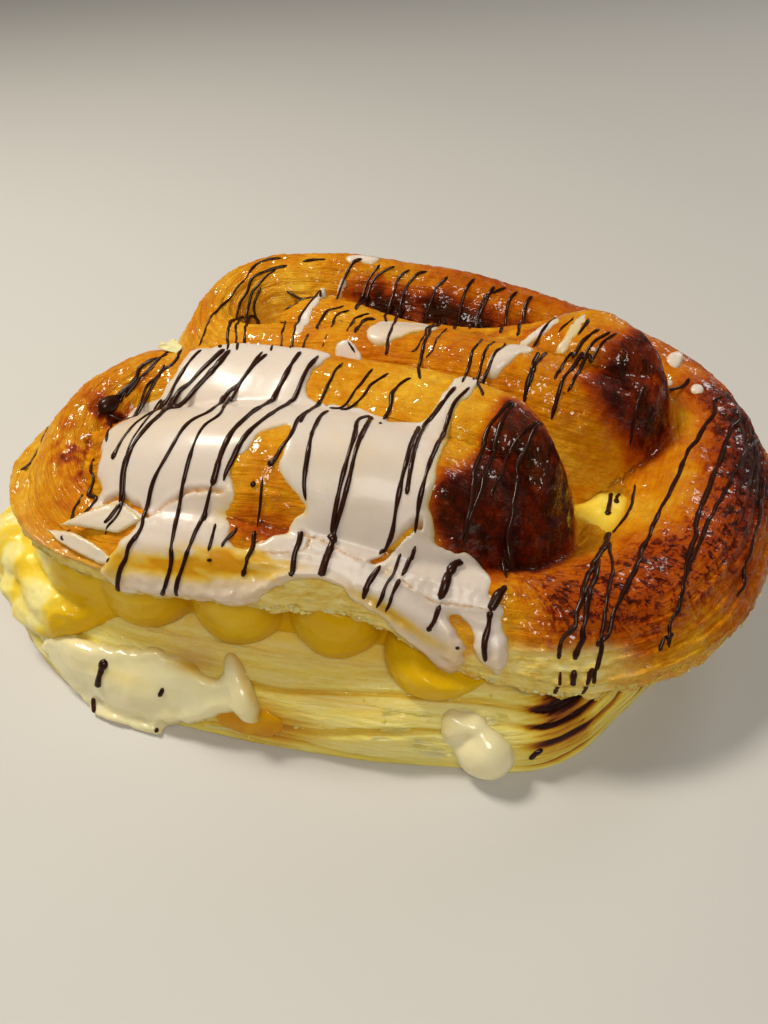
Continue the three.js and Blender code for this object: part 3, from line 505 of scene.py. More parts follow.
# ------------------------------------------------------------------ the base
def base_q(y, z): return y - np.maximum(0, 15.6 - z)
def make_base():
    L = spline(BASE_OUTLINE, 40, True)
    seg = np.linalg.norm(np.roll(L, -1, 0) - L, axis=1); acc = np.concatenate([[0], np.cumsum(seg)])
    total = acc[-1]; N = int(total / 0.55)
    w = np.arange(N) / N * total
    LX = np.concatenate([L, L[:1]])
    O = np.stack([np.interp(w, acc, LX[:, 0]), np.interp(w, acc, LX[:, 1])], 1)
    T = np.roll(O, -1, 0) - np.roll(O, 1, 0)
    k = np.exp(-0.5 * (np.arange(-24, 25) / 9.0) ** 2); k /= k.sum()
    T = sum(k[i] * np.roll(T, i - 24, 0) for i in range(49)); T /= np.linalg.norm(T, axis=1)[:, None]
    area = 0.5 * np.sum(O[:, 0] * np.roll(O[:, 1], -1) - np.roll(O[:, 0], -1) * O[:, 1])
    n_in = np.stack([-T[:, 1], T[:, 0]], 1) * (1 if area > 0 else -1)
    M = 64
    depth = np.concatenate([[0.7, 0.25, 0.0], np.zeros(6), 14.5 * (np.linspace(0, 1, 200)[1:]) ** 2])
    P = np.zeros((M, N, 3)); NR = np.zeros((M, N, 3))
    for c in range(0, N):
        x = O[c, 0]; hi = BTOP - BSINK * sm((x - 10) / 50)
        tt = np.clip(depth[9:] / BSLOPE, 0, 1)
        zz = np.concatenate([[0, 0.25, 0.8], np.linspace(0.8, EDGE, 7)[1:], EDGE + (hi - EDGE) * np.sqrt(1 - (1 - tt) ** 2.2)])
        s = np.concatenate([[0], np.cumsum(np.hypot(np.diff(depth), np.diff(zz)))])
        u = np.linspace(0, s[-1], M)
        dd, zc = np.interp(u, s, depth), np.interp(u, s, zz)
        P[:, c, 0] = O[c, 0] + n_in[c, 0] * dd; P[:, c, 1] = O[c, 1] + n_in[c, 1] * dd; P[:, c, 2] = zc
        gd, gz = np.gradient(dd), np.gradient(zc); l = np.hypot(gd, gz)
        NR[:, c, 0] = -n_in[c, 0] * gz / l; NR[:, c, 1] = -n_in[c, 1] * gz / l; NR[:, c, 2] = gd / l
    h = np.linspace(0, 1, M)[:, None] * np.ones((1, N)); W = np.ones((M, 1)) * w[None, :]
    def per(a, lam, z, seed):                                # noise that closes on itself round the outline
        th = a / total * 2 * np.pi; R = total / (2 * np.pi) / lam
        return vn(np.cos(th) * R + 50, np.sin(th) * R + 50, z, seed)
    def leaves(count, lam, seed, wob):
        c = h * count + wob * per(W, lam, h * 2.0, seed) + 0.5 * wob * per(W, lam * 0.3, h * 3.0, seed + 1)
        i = np.floor(c); f = c - i
        out = per(W, 9, i * 5.3, seed + 2) * 0.8 + per(W, 2.4, i * 5.3, seed + 3) * 0.25
        lip = 1 - np.abs(2 * f - 1) ** 3.5
        return out, lip, f
    o1, l1, f1 = leaves(6.5, 46, 101, 0.95)
    o2, l2, f2 = leaves(21, 24, 111, 1.1)
    fibre = per(W, 9, h * 34, 125) * 0.6 + per(W, 3.2, h * 52, 126) * 0.4
    ledge = sm((l1 - 0.55) / 0.35)
    open_ = np.clip(0.10 + 1.1 * sm(per(W, 30,  np.round(h * 6.5 + 0.95 * per(W, 46, h * 2.0, 101)) * 4.7, 141) * 1.5 + 0.15), 0, 1)
    rightdark = sm((P[:, :, 0] - 34) / 10)
    open_ = np.clip(open_ + 0.45 * rightdark, 0, 1)
    step = (per(W, 38, h * 1.6, 142) + 0.6 * per(W, 15, h * 3.1, 143)) * 0.75
    d = step + 0.30 * o1 * ledge * open_ + 1.15 * (ledge - 1) * open_ + 0.16 * o2 * l2 + 0.12 * (l2 - 0.7) + 0.26 * fibre + 0.35 * fbm(P[:, :, 0] / 11, P[:, :, 1] / 11, P[:, :, 2] / 5, 3, 120)
    d *= sm(h * 14) * sm((1 - h) * 9 + 0.1)
    Q = P + NR * d[:, :, None]
    Q[:, :, 2] = np.maximum(Q[:, :, 2], 0.0); Q[0, :, 2] = 0
    # split_shade marks the opened splits between the leaves; the toast it raises below is painted shade in those splits
    split_shade = 1 - np.minimum(1 - (1 - ledge) * open_, 0.86 + 0.14 * l2)
    x, y, z = Q[:, :, 0], Q[:, :, 1], Q[:, :, 2]
    lowleft = sm((-60 - x) / 14) * sm((5 - z) / 4) * sm((10 - y) / 20)
    # toward the right end (rightdark) the toast rises: partly the browned outer crust there, partly painted shade on
    # that end
    toast = 0.17 + 0.24 * split_shade - 0.05 * fibre + 0.10 * sm((2.2 - z) / 2) + 0.5 * lowleft + 0.46 * rightdark * sm((h - 0.02) * 6) * (0.4 + 0.9 * sm(per(W, 14, h * 3, 131) + 0.4))
    toast += 0.50 * rightdark * split_shade - 0.10 * rightdark * ledge * l2 + 0.38 * rightdark * sm((h - 0.45) * 4) + 0.30 * sm((y - 20) / 20) + 0.16 * spot(x, y, -19, -62, 9, 3.5)
    toast += 0.34 * np.clip(1.5 * spot(x, base_q(y, z), -13.5, -72.5, 8.0, 4.6), 0, 1)
    wet = np.clip(spot(x, y, -26, -62, 16, 5) * 1.4 + 0.5 * sm((-50 - x) / 14) + 0.35 * sm((h - 0.55) * 5), 0, 1)
    pts = Q.reshape(-1, 3); a = np.arange(M - 1)[:, None] * N; b = np.arange(N)[None, :]; nb = (b + 1) % N
    quads = np.stack([a + b, a + nb, a + N + nb, a + N + b], -1).reshape(-1, 4)
    if area < 0: quads = quads[:, ::-1]
    amber = np.clip(1.6 * spot(x, base_q(y, z), -14.0, -71.6, 9.4, 5.2) * (0.75 + 0.5 * fbm(x / 3, z / 3, 0, 2, 145)) + 0.55 * spot(x, base_q(y, z), -30, -58.5, 7, 3) + 0.35 * spot(x, base_q(y, z), -2, -60, 14, 2.2), 0, 1)
    A = dict(toast=toast.ravel(), lay=(l1 * l2).ravel(), wet=wet.ravel(), amber=amber.ravel())
    # caps
    top_ring = Q[-1]; bot_ring = Q[0]
    def cap(ring, up, step):
        xs, ys = np.meshgrid(np.arange(-96, 80, step), np.arange(-66, 62, step)); xs = xs.ravel() + (step / 2) * ((ys.ravel() / step).astype(int) % 2); ys = ys.ravel()
        dd = sdf(xs, ys, ring[:, :2]); keep = dd > step * 0.55
        inner = np.stack([xs[keep], ys[keep]], 1)
        pts2 = np.concatenate([ring[:, :2], inner]); n = len(ring)
        vs, _, fs, ov, _, _ = delaunay_2d_cdt([Vector(v) for v in pts2], [(i, (i + 1) % n) for i in range(n)], [], 1, 1e-7)
        idx = [o[0] for o in ov]
        tri = np.array([[idx[k] for k in f] for f in fs if len(f) == 3])
        c = pts2[tri]; ar = (c[:, 1, 0] - c[:, 0, 0]) * (c[:, 2, 1] - c[:, 0, 1]) - (c[:, 1, 1] - c[:, 0, 1]) * (c[:, 2, 0] - c[:, 0, 0])
        tri = np.where(((ar > 0) == up)[:, None], tri, tri[:, ::-1])
        return inner, tri, n
    inn, tri, n = cap(top_ring, True, 3.0)
    zt = BTOP - BSINK * sm((inn[:, 0] - 10) / 50)
    pts = np.concatenate([pts, np.column_stack([inn, zt])]); off = (M - 1) * N
    t1 = np.where(tri < n, tri + off, tri - n + M * N)
    inn2, tri2, n = cap(bot_ring, False, 6.0)
    k2 = len(pts); pts = np.concatenate([pts, np.column_stack([inn2, np.zeros(len(inn2))])])
    t2 = np.where(tri2 < n, tri2, tri2 - n + k2)
    for k, v0 in (("toast", 0.3), ("lay", 1.0), ("wet", 0.0), ("amber", 0.0)):
        A[k] = np.concatenate([A[k], np.full(len(inn) + len(inn2), v0)])
    emit("palmier_base", pts, [quads, t1, t2], A, CRUMB, "base_pastry")
    return Q.reshape(-1, 3), NR.reshape(-1, 3)

# ------------------------------------------------------------------ the cream
ROUNDS = [[-57,-43,11.5],[-45,-44.3,11],[-24.6,-43.5,10.6],[-3.8,-41,10.6],[18,-44,11]]
def make_cream():
    lo, hi = (-98.0, -62.0, 9.0), (84.0, 60.0, 33.0)
    ci, cj = window(lo, hi); X, Y = GX[ci, cj], GY[ci, cj]; zz = axis(lo[2], hi[2])[None, None, :].astype(np.float32)
    B, Dl = BD2[ci, cj], D2[ci, cj]
    inner = np.minimum(B - 18.0, Dl - 3)
    # the piped rounds carry on round the sides that do not show
    edge = spline(np.array([[34,-36],[47,-28],[56,-14],[60,2],[60,18],[54,32],[40,42],[20,46],[0,46.5],[-20,45],[-38,40],[-52,33],[-58,24],[-52,14.5]], float), 1, False)
    lump = ROUNDS + [[a, b, 9.4 + 0.9 * math.sin(1.7 * j)] for j, (a, b) in enumerate(edge)]
    und = underside(X)
    low = BT2[ci, cj]
    top = und - 0.2
    room = sm((Dl - 0.6) / 2.6)
    lumps = 1.7 * fbm(X / 6, Y / 6, 0, 3, 201) + 0.7 * vn(X / 2.6, Y / 2.6, 0, 205)
    smear = np.minimum(B - 2.2, 26.5 - np.hypot((X + 68) * 0.95, Y + 32.5)) + 0.8 * vn(X / 7, Y / 7, 0, 207)
    ci_all = np.maximum(inner, smear)
    for cx, cy, r in lump: ci_all = np.maximum(ci_all, r - np.hypot(X - cx, Y - cy))
    open_top = np.minimum(20.2 + lumps - 0.05 * np.maximum(-80 - X, 0) ** 1.5, und - 0.6)
    full = open_top + (top - open_top) * room
    full = low + (full - low) * (0.42 + 0.58 * np.sqrt(1 - (1 - np.clip(ci_all / 6, 0, 1)) ** 2))
    phi = smin(np.maximum(inner, smear)[:, :, None].astype(np.float32), ((full[:, :, None] - zz) * 0.9).astype(np.float32), 1.6)
    for k, (cx, cy, r) in enumerate(lump):
        zm = (16.0 + underside(cx)) / 2 - 0.4; hh = (underside(cx) - 15.6) / 2 + 2.6
        zeta = np.clip((zz - zm) / hh, -0.999, 0.999)
        e = 2.6 if k < len(ROUNDS) else 3.6
        R = (r + 0.2) * (1 - np.abs(zeta) ** e) ** (1 / e)
        dist = np.hypot(X - cx, Y - cy) * (1 + 0.02 * np.sin(3 * np.arctan2(Y - cy, X - cx) + k))
        phi = smax(phi, (R - dist[:, :, None]).astype(np.float32), 0.5 if k < len(ROUNDS) else 1.0)
    for cx, cy, cz, rx, ry, rz in ((-72.5,-52.6,10.2,5.2,3.6,3.4),(-66.8,-54.4,12.0,3.6,3.2,2.6),(-78.5,-48.5,12.4,4.0,3.4,3.0),(-84.5,-42.5,14.4,3.4,3.4,3.0),(-86.2,-34.5,17.0,3.2,4.0,2.6),(-80.5,-40.5,18.2,4.0,4.0,2.8)):
        k = np.sqrt((((X - cx) / rx) ** 2 + ((Y - cy) / ry) ** 2)[:, :, None] + ((zz - cz) / rz) ** 2)
        phi = smax(phi, ((1 - k) * min(rx, ry, rz) * 0.8).astype(np.float32), 2.2)
    cap_top = np.where(Dl > -0.5, und - 0.15, und - 0.15)[:, :, None] - zz
    phi = np.minimum(phi, cap_top.astype(np.float32))
    phi = np.minimum(phi, (zz - (low - 0.35)[:, :, None]).astype(np.float32))
    # the spoonful that stands in the gap beside the strand
    bump = 25.6 - 0.40 * np.maximum(45 - X, 0) - 0.10 * np.maximum(-3 - Y, 0) + 0.7 * fbm(X / 3.2, Y / 3.2, 0, 2, 209)
    post = np.minimum((sdf(X, Y, HOLE_OUT) + 0.5)[:, :, None], np.minimum(bump[:, :, None] - zz, zz - 15.0))
    phi = np.maximum(phi, post.astype(np.float32))
    p, q, t = polygonize(phi, (gx[ci][0], gy[cj][0], lo[2]), adapt=0.0)
    p, q = keep_big(relax(p, q, 0.5, 2), q, 600)
    n = normals(p, q); x, y, z = p.T
    n_out = np.clip(1 - np.abs(n[:, 2]) * 0.5, 0, 1)
    vis = 1 - sm((at(D2, x, y) - 6) / 6)
    smr = sm((-54 - x) / 10)
    p = p + n * (vis * (0.22 * (1 - smr) * fbm(x / 6, y / 6, z / 1.5, 2, 217) + (0.20 + 0.45 * smr) * fbm(x / 3.6, y / 3.6, z / 3.0, 3, 211) + 0.5 * smr * (0.5 - np.abs(vn(x / 5, y / 5, z / 4, 213)))))[:, None]
    pale = np.clip(sm((-60 - x) / 10) * 0.75 * (0.5 + 0.9 * sm(vn(x / 5, y / 5, z / 5, 215) + 0.4)) + 0.6 * spot(x, y, 46.5, 0, 9, 10) + 1.2 * spot(x, y, -70.5, -54.3, 7, 3.4) * sm((z - 6) / 3), 0, 1)
    emit("palmier_cream", p, q, dict(pale=pale), CREAM, "cream_filling")
    return p, n
# ------------------------------------------------------------------ chart of the lid's surface
# (x, q): q = y on top of the lid, and past the front shoulder q runs on down the wall.
def _line(a, s):
    r = int(3 * s / VOX); k = np.exp(-0.5 * (np.arange(-r, r + 1) * VOX / s) ** 2); k /= k.sum()
    return np.convolve(np.pad(a, r, mode="edge"), k, "valid")
_ye = np.array([gy[np.argmax(D2[i] > 0)] if (D2[i] > 0).any() else np.nan for i in range(len(gx))])
_ok = ~np.isnan(_ye)
YE = _line(np.interp(gx, gx[_ok], _ye[_ok]), 2.0)
ZS = _line(at(LT2, gx, YE + 9), 1.0)
def chart_q(x, y, z):
    ye, zs = np.interp(x, gx, YE), np.interp(x, gx, ZS)
    return y - np.clip((ye + 10.5 - y) / 3, 0, 1) * np.maximum(0, zs - z)
def unchart(x, q):
    """a point on the smooth lid for chart coordinates"""
    ye, zs = float(np.interp(x, gx, YE)), float(np.interp(x, gx, ZS))
    if q >= ye + 10.5: return np.array([x, q, float(at(LT2, np.array([x]), np.array([q]))[0])])
    yy = np.linspace(ye + 10.5, ye + 0.15, 140); xx = np.full(140, x)
    zz = at(LT2, xx, yy); e = float(underside(np.array([x]))[0]) + WALL
    yy = np.concatenate([yy, np.full(30, ye + 0.1)]); zz = np.concatenate([np.maximum(zz, e), np.linspace(e, e - 16, 30)])
    qq = np.minimum.accumulate(chart_q(np.full(len(yy), x), yy, zz))
    k = int(np.clip(np.searchsorted(-qq, -q), 0, len(qq) - 1))
    return np.array([x, yy[k], zz[k]])

# Outlines of the icing on the chart, mm.
ICE = dict(
 top=[(-46.3,-3.6),(-48.8,-9.7),(-49.2,-13.7),(-50.5,-15.9),(-51.2,-17.9),(-56.2,-18.9),(-58.6,-21.7),(-56.8,-27.3),(-57.2,-32.9),(-56.3,-34.9),(-55.6,-37.7),(-54.3,-40.8),(-52.2,-43.2),(-49.9,-45.2),(-46.8,-45.1),(-44.2,-45.8),(-41.3,-47.3),(-39.2,-48.4),(-36.4,-45.9),(-33.5,-45),(-32.3,-44),(-29.8,-43.4),(-26.8,-43.2),(-25.8,-43.2),(-25.1,-41.9),(-24.7,-40.5),(-24.2,-37.8),(-23,-36.8),(-22,-35),(-21.7,-33.1),(-20.2,-30.3),(-17,-28),(-13.6,-28),(-7.6,-24.8),(-1.6,-22),(-0.4,-17.4),(-2.3,-16.7),(-6.2,-16.1),(-9.9,-16.1),(-13.1,-15.9),(-16.9,-15.5),(-19,-13.9),(-19.3,-11),(-18.4,-6.7),(-17.7,-2.2),(-30,-1.2)],
 bsheet=[(-17.1,-26.8),(-15,-22.4),(-13.1,-19.1),(-10.2,-18.3),(-5,-18.1),(-1.7,-18.6),(3,-17.2),(5.4,-16.8),(7.5,-14.5),(8.7,-10.3),(10.2,-4.6),(12.4,-2),(15.2,-3),(14.6,-6.1),(14.2,-8.5),(13.1,-10),(12.5,-12.4),(12.4,-16.1),(12.6,-22.4),(12.7,-28.1),(12.9,-32.8),(12.5,-34.5),(12,-36.3),(11.7,-38.2),(9.5,-39.4),(7.7,-41.5),(6,-46),(4.3,-47.9),(1.1,-48.4),(-1.6,-47.5),(-3.6,-46.8),(-6.2,-45.9),(-9,-45.1),(-9.1,-42.4),(-10.2,-41.1),(-13.6,-39.4),(-16.2,-37.4),(-15.9,-35.3),(-16,-30.6)],
 lower=[(-39,-48.8),(-36.3,-46.2),(-33.4,-45.3),(-32.2,-44.2),(-29.7,-43.6),(-26.7,-43.4),(-25.3,-43.3),(-24.7,-44.4),(-26.3,-45.1),(-22.7,-45.9),(-22.5,-48.7),(-21.2,-51.3),(-17.6,-52.6),(-12.9,-52.3),(-8.7,-50.2),(-8.6,-45.9),(-6,-46.6),(-3.5,-47.5),(-1.5,-48.3),(1.2,-49.1),(4.1,-48.8),(7,-49.4),(10,-49.7),(13.4,-49.6),(16.9,-49.4),(18.1,-49.7),(19.9,-52),(22,-54.9),(23.3,-57.9),(23.9,-60.6),(23.8,-62.7),(23.1,-65.6),(20.9,-69.6),(19.4,-69.2),(18.3,-67.6),(16.6,-65.6),(14.1,-64.1),(11.5,-62.9),(8.8,-61.7),(6.2,-61.1),(3.4,-60.7),(1.1,-59.7),(-0.4,-58.1),(-2.3,-57.1),(-4.6,-56.6),(-6.9,-57),(-9.5,-58.2),(-11.7,-60),(-14.6,-63),(-17.1,-65.7),(-19.6,-68.3),(-22.1,-69.1),(-25.3,-68.6),(-29.7,-69.4),(-37.2,-70),(-41.7,-70),(-45.2,-67.7),(-47.3,-65),(-45.5,-62),(-44.5,-59.5),(-43.6,-56.4),(-42,-53.1),(-40.3,-50.5)],
 right=[(6.8,-45.2),(8.3,-41.6),(10.1,-39.6),(11.9,-39),(13.3,-38.6),(16.1,-38.5),(19.7,-37.2),(23.1,-36),(25.6,-37.5),(26.8,-39.5),(26.3,-42.1),(26.3,-45.8),(24.2,-46.7),(21.8,-47.3),(19.6,-48.1),(17,-48.8),(13.5,-49),(10.2,-48.4)],
 rlow=[(19.2,-49.4),(21.9,-48.1),(24.3,-47.5),(26.7,-47),(28.4,-47),(29.6,-48.7),(31.1,-53.5),(31.6,-57.4),(31.2,-61.5),(29.9,-62.8),(28.3,-62.2),(26.8,-60.5),(25.8,-58.1),(25,-54.5),(23.5,-52.2),(21.5,-50.7)],
 pale=[(-16.4,-50.6),(-15,-48),(-12.2,-45.9),(-9.3,-45.2),(-7.5,-46.5),(-8.3,-49.3),(-11.3,-51.1),(-14.4,-51.6)],
 back_a=[(-14.7,14.3),(-15.4,18.9),(-13.9,23.2),(-9.8,25.5),(-5.9,26.2),(0.2,26),(-0.5,22.1),(-4.1,18.7),(-6.7,15),(-9.7,12.9),(-12.3,12.7)],
 back_b=[(14.4,10),(14.7,13),(16.2,17),(19.2,20.2),(21.5,20.8),(24,19.2),(21.4,15.7),(19.4,12.2),(17.1,9.5)],
 back_c=[(20.1,21.9),(22.4,25.6),(25.3,29.5),(27.8,30.5),(27.3,27.4),(24.3,24),(21.8,21)],
 back_h=[(28.6,20.5),(29.4,23.6),(30.6,28.5),(32.9,31.9),(34.4,31.0),(33.4,26.3),(31.9,22.4),(30.3,20.0)],
 back_i=[(54.6,39.1),(55.5,41.9),(57.5,44.2),(58.8,42.5),(58,38.7),(56.3,37.4)],
 back_d=[(-28.7,41.9),(-27.5,44),(-23,45),(-20,44.3),(-21.4,41.8),(-24.5,41.6),(-26.8,40.3)],
 back_e=[(-33.1,14.1),(-34.4,23),(-33.5,28.1),(-33.5,34),(-31.6,34.8),(-30.9,29.7),(-31.2,23),(-30.9,17),(-30.7,13.2)],
 back_f=[(-21.4,11.3),(-19.4,13),(-17.7,12.8),(-15.8,11.4),(-14.5,10.3),(-16,8),(-19,8.2)],
 back_g=[(-28.9,35.7),(-27.9,37.6),(-26.5,37.5),(-27,35.5),(-28.4,34.5)],
)
PLATES = dict(
 shard_a=[(-56.8,-53.2),(-53.9,-50.6),(-51.1,-48.2),(-47.8,-45.8),(-44.5,-46.3),(-39.9,-49.2),(-41.9,-51.4),(-44.2,-53.2),(-47.2,-52.8),(-52.1,-52.5)],
 shard_b=[(-60.7,-55.9),(-58.1,-54.5),(-54.2,-54.3),(-49.6,-56),(-46.2,-58.5),(-43.2,-61.1),(-44.8,-62.3),(-48.5,-60.9),(-52.9,-59.4),(-57.1,-58.3)],
)
DOTS = [(62.5,32.5,1.7),(56,33.8,1.1),(50.5,35.5,1.0),(45.5,36.8,1.2)]
CRACKS = [(0.45, [(-50.5,-45.6),(-46.8,-45.1),(-44.2,-45.8),(-41.3,-47.3),(-39.2,-48.4)]), (0.05, [(-39.1,-48.6),(-36.4,-46.0),(-33.5,-45.1)]),
          (0.2, [(-33.5,-45.1),(-32.3,-44.0),(-29.7,-43.5),(-26.7,-43.4),(-25.3,-43.3)]), (0.05, [(-9.1,-45.5),(-6.2,-46.1),(-3.5,-47.0),(-1.6,-47.8),(1.2,-48.9),(4.4,-48.6)]),
          (0.7, [(4.4,-48.6),(6.1,-46.3),(7.7,-42.0),(9.5,-39.4),(11.7,-38.3)]), (0.05, [(9.9,-48.7),(13.3,-49.3),(16.9,-49.4),(21.9,-47.8),(27.0,-46.3)]),
          (0.05, [(-9.4,-44.9),(-7.6,-46.2),(-8.3,-49.3),(-11.3,-51.1),(-15.4,-51.9)])]
MH = 0.4
mx, mq = np.arange(-66, 72, MH), np.arange(-78, 52, MH)
def ice_mask():
    MX, MQ = np.meshgrid(mx, mq, indexing="ij"); M = np.full(MX.shape, -5.0)
    wx, wq = 0.35 * vn(MX / 2.3, MQ / 2.3, 0, 301) + 0.2 * vn(MX / 1.1, MQ / 1.1, 0, 303), 0.35 * vn(MX / 2.3, MQ / 2.3, 9, 302)
    for k, poly in ICE.items():
        P = spline(np.array(poly, float), 3, True)
        lo, hi = P.min(0) - 5, P.max(0) + 5
        i = slice(max(0, int((lo[0] - mx[0]) / MH)), int((hi[0] - mx[0]) / MH) + 2); j = slice(max(0, int((lo[1] - mq[0]) / MH)), int((hi[1] - mq[0]) / MH) + 2)
        lowq = sm((-55 - MQ[i, j]) / 6); M[i, j] = np.maximum(M[i, j], np.maximum(sdf(MX[i, j] + wx[i, j] * (1 + 1.2 * lowq), MQ[i, j] + wq[i, j] + lowq * (0.9 * vn(MX[i, j] / 2.6, 0, 0, 305) + 0.5 * vn(MX[i, j] / 1.1, 0, 4, 306)), P), -5))
    for cx, cq, r in DOTS: M = np.maximum(M, r - np.hypot(MX - cx, MQ - cq))
    C = np.full(MX.shape, 9.0)
    for w, line in CRACKS:
        P = spline(np.array(line, float), 4, False); lo, hi = P.min(0) - 4, P.max(0) + 4
        i = slice(int((lo[0] - mx[0]) / MH), int((hi[0] - mx[0]) / MH) + 2); j = slice(int((lo[1] - mq[0]) / MH), int((hi[1] - mq[0]) / MH) + 2)
        d = polydist(MX[i, j] + 0.7 * wx[i, j], MQ[i, j] + 0.7 * wq[i, j], P, False)
        M[i, j] = np.maximum(M[i, j], np.minimum(1.6 - d * 0.6, 1.6))
        C[i, j] = np.minimum(C[i, j], d - w / 2)
    return blur(M, 0.3, MH), blur(C, 0.15, MH)
MASK, CRK = ice_mask()
def mask_at(x, q): return lookup(MASK, x, q, mx[0], mq[0], MH)
def crack_at(x, q): return lookup(CRK, x, q, mx[0], mq[0], MH)
def thin_field(x, q):
    wob = 1 + 0.9 * fbm(x / 3.2, q / 2.0, 0, 2, 307)
    t = wob * (1.0 * spot(x, q, -17.5, -55.0, 7.5, 2.8, 8) + 0.85 * spot(x, q, -25, -58.0, 7, 3.4) + 0.70 * spot(x, q, -34, -60.8, 7, 2.6)) + 0.5 * spot(x, q, -43, -61, 2.5, 5)
    t = t + 0.55 * spot(x, q, 10, -58.5, 9, 1.6, -10) + 0.16 * spot(x, q, -50, -30, 2.5, 12) + 0.40 * spot(x, q, 12.2, -20, 1.4, 14) + 0.26 * spot(x, q, -22, -45, 6, 3) + 0.10 * spot(x, q, -38, -30, 14, 5) + 0.12 * spot(x, q, -4, -34, 8, 6)
    t = t + 0.30 * spot(x, q, 31.5, 26, 4, 8) + 0.18 * spot(x, q, -5, 18, 6, 7)
    return np.clip(t, 0, 1)
def ice_thickness(m, x, q, c):
    low = sm((-52 - q) / 4)
    base = 0.62 + 0.12 * vn(x / 9, q / 9, 0, 311) + 0.24 * vn(x / 5.5, q / 30, 3, 313) * (q > -50) - 0.05 * (q > 0) + 0.45 * low
    base = base + 0.70 * np.exp(-((m - 1.6) / 1.2) ** 2) * low - 0.25 * thin_field(x, q)
    r = 1.9 - 0.3 * low
    T = base * np.sqrt(np.clip(1 - (1 - np.clip(m / r, 0, 1)) ** 2, 0, 1)) + 0.20 * np.exp(-((c - 0.55) / 0.4) ** 2)
    T = np.minimum(T, -0.30 + np.maximum(c, -0.2) * 4.5)
    return np.where(m > 0, T, m * 2.2)

def sample3(A, p, org, h=VOX):
    f = (p - np.array(org)) / h
    i = np.clip(np.floor(f).astype(int), 0, np.array(A.shape) - 2); t = np.clip(f - i, 0, 1)
    out = 0
    for a in (0, 1):
        for b in (0, 1):
            for c in (0, 1):
                w = (t[:, 0] if a else 1 - t[:, 0]) * (t[:, 1] if b else 1 - t[:, 1]) * (t[:, 2] if c else 1 - t[:, 2])
                out = out + w * A[i[:, 0] + a, i[:, 1] + b, i[:, 2] + c]
    return out
LID_ORG = (gx[li][0], gy[lj][0], lz[0])
def make_icing(lid_p, lid_q):
    wp, wq, _ = polygonize(LID_TOP_PHI, LID_ORG)
    global LID_TOP_D
    LD = LID_TOP_D = distance_grid(wp, wq, LID_TOP_PHI.shape, LID_ORG)
    lo, hi = (-66.0, -63.0, 15.0), (69.0, 48.0, 59.5)
    h = 0.4; xs, ys, zs = (axis(lo[k], hi[k], h) for k in range(3)); shape = (len(xs), len(ys), len(zs))
    # coarse look first, so that only the shell near the surface is worked out
    ci = [np.clip(np.round((v - LID_ORG[k]) / VOX).astype(int), 0, LD.shape[k] - 1) for k, v in enumerate((xs, ys, zs))]
    coarse = LD[np.ix_(*ci)]
    I = np.nonzero((coarse > -4.0) & (coarse < 1.6))
    P = np.stack([xs[I[0]], ys[I[1]], zs[I[2]]], 1); x, y, z = P.T
    PH = sample3(LD, P, LID_ORG)
    q = chart_q(x, y, z); m = mask_at(x, q)
    m = np.where((q < 0) & (y > 5), -5, m)                   # nothing wraps round to the back
    T = ice_thickness(m, x, q, crack_at(x, q))
    phi = np.full(shape, -1.2, np.float32); phi[I] = np.minimum(T + PH, 0.75 - PH)
    p, qd, t = polygonize(phi, lo, h)
    p, qd = keep_big(p, qd, 60)
    p = relax(p, qd, 0.5, 3)
    n = normals(p, qd); x, y, z = p.T; q = chart_q(x, y, z); m = mask_at(x, q); c = crack_at(x, q)
    lip = sm((-55 - q) / 4)
    p = p + n * (0.08 * fbm(x / 5, y / 5, z / 5, 2, 321) + lip * (0.20 * fbm(x / 1.8, y / 1.8, z / 1.8, 2, 323) + 0.22 * fbm(x / 4.2, y / 4.2, z / 3, 2, 325)))[:, None]
    thin = np.clip(thin_field(x, q) + 0.35 * np.exp(-(np.maximum(m, 0) / 0.45) ** 2) * (1 - lip) + 0.18 * lip, 0, 1)
    emit("palmier_icing", p, qd, dict(thin=thin, lip=lip, crack=np.exp(-(np.maximum(c, 0) / 0.22) ** 2)), ICING)
    # everything the chocolate can lie on
    full = distance_grid(lid_p, lid_q, LID_TOP_PHI.shape, LID_ORG)
    return np.maximum(full, distance_grid(p, qd, LID_TOP_PHI.shape, LID_ORG))

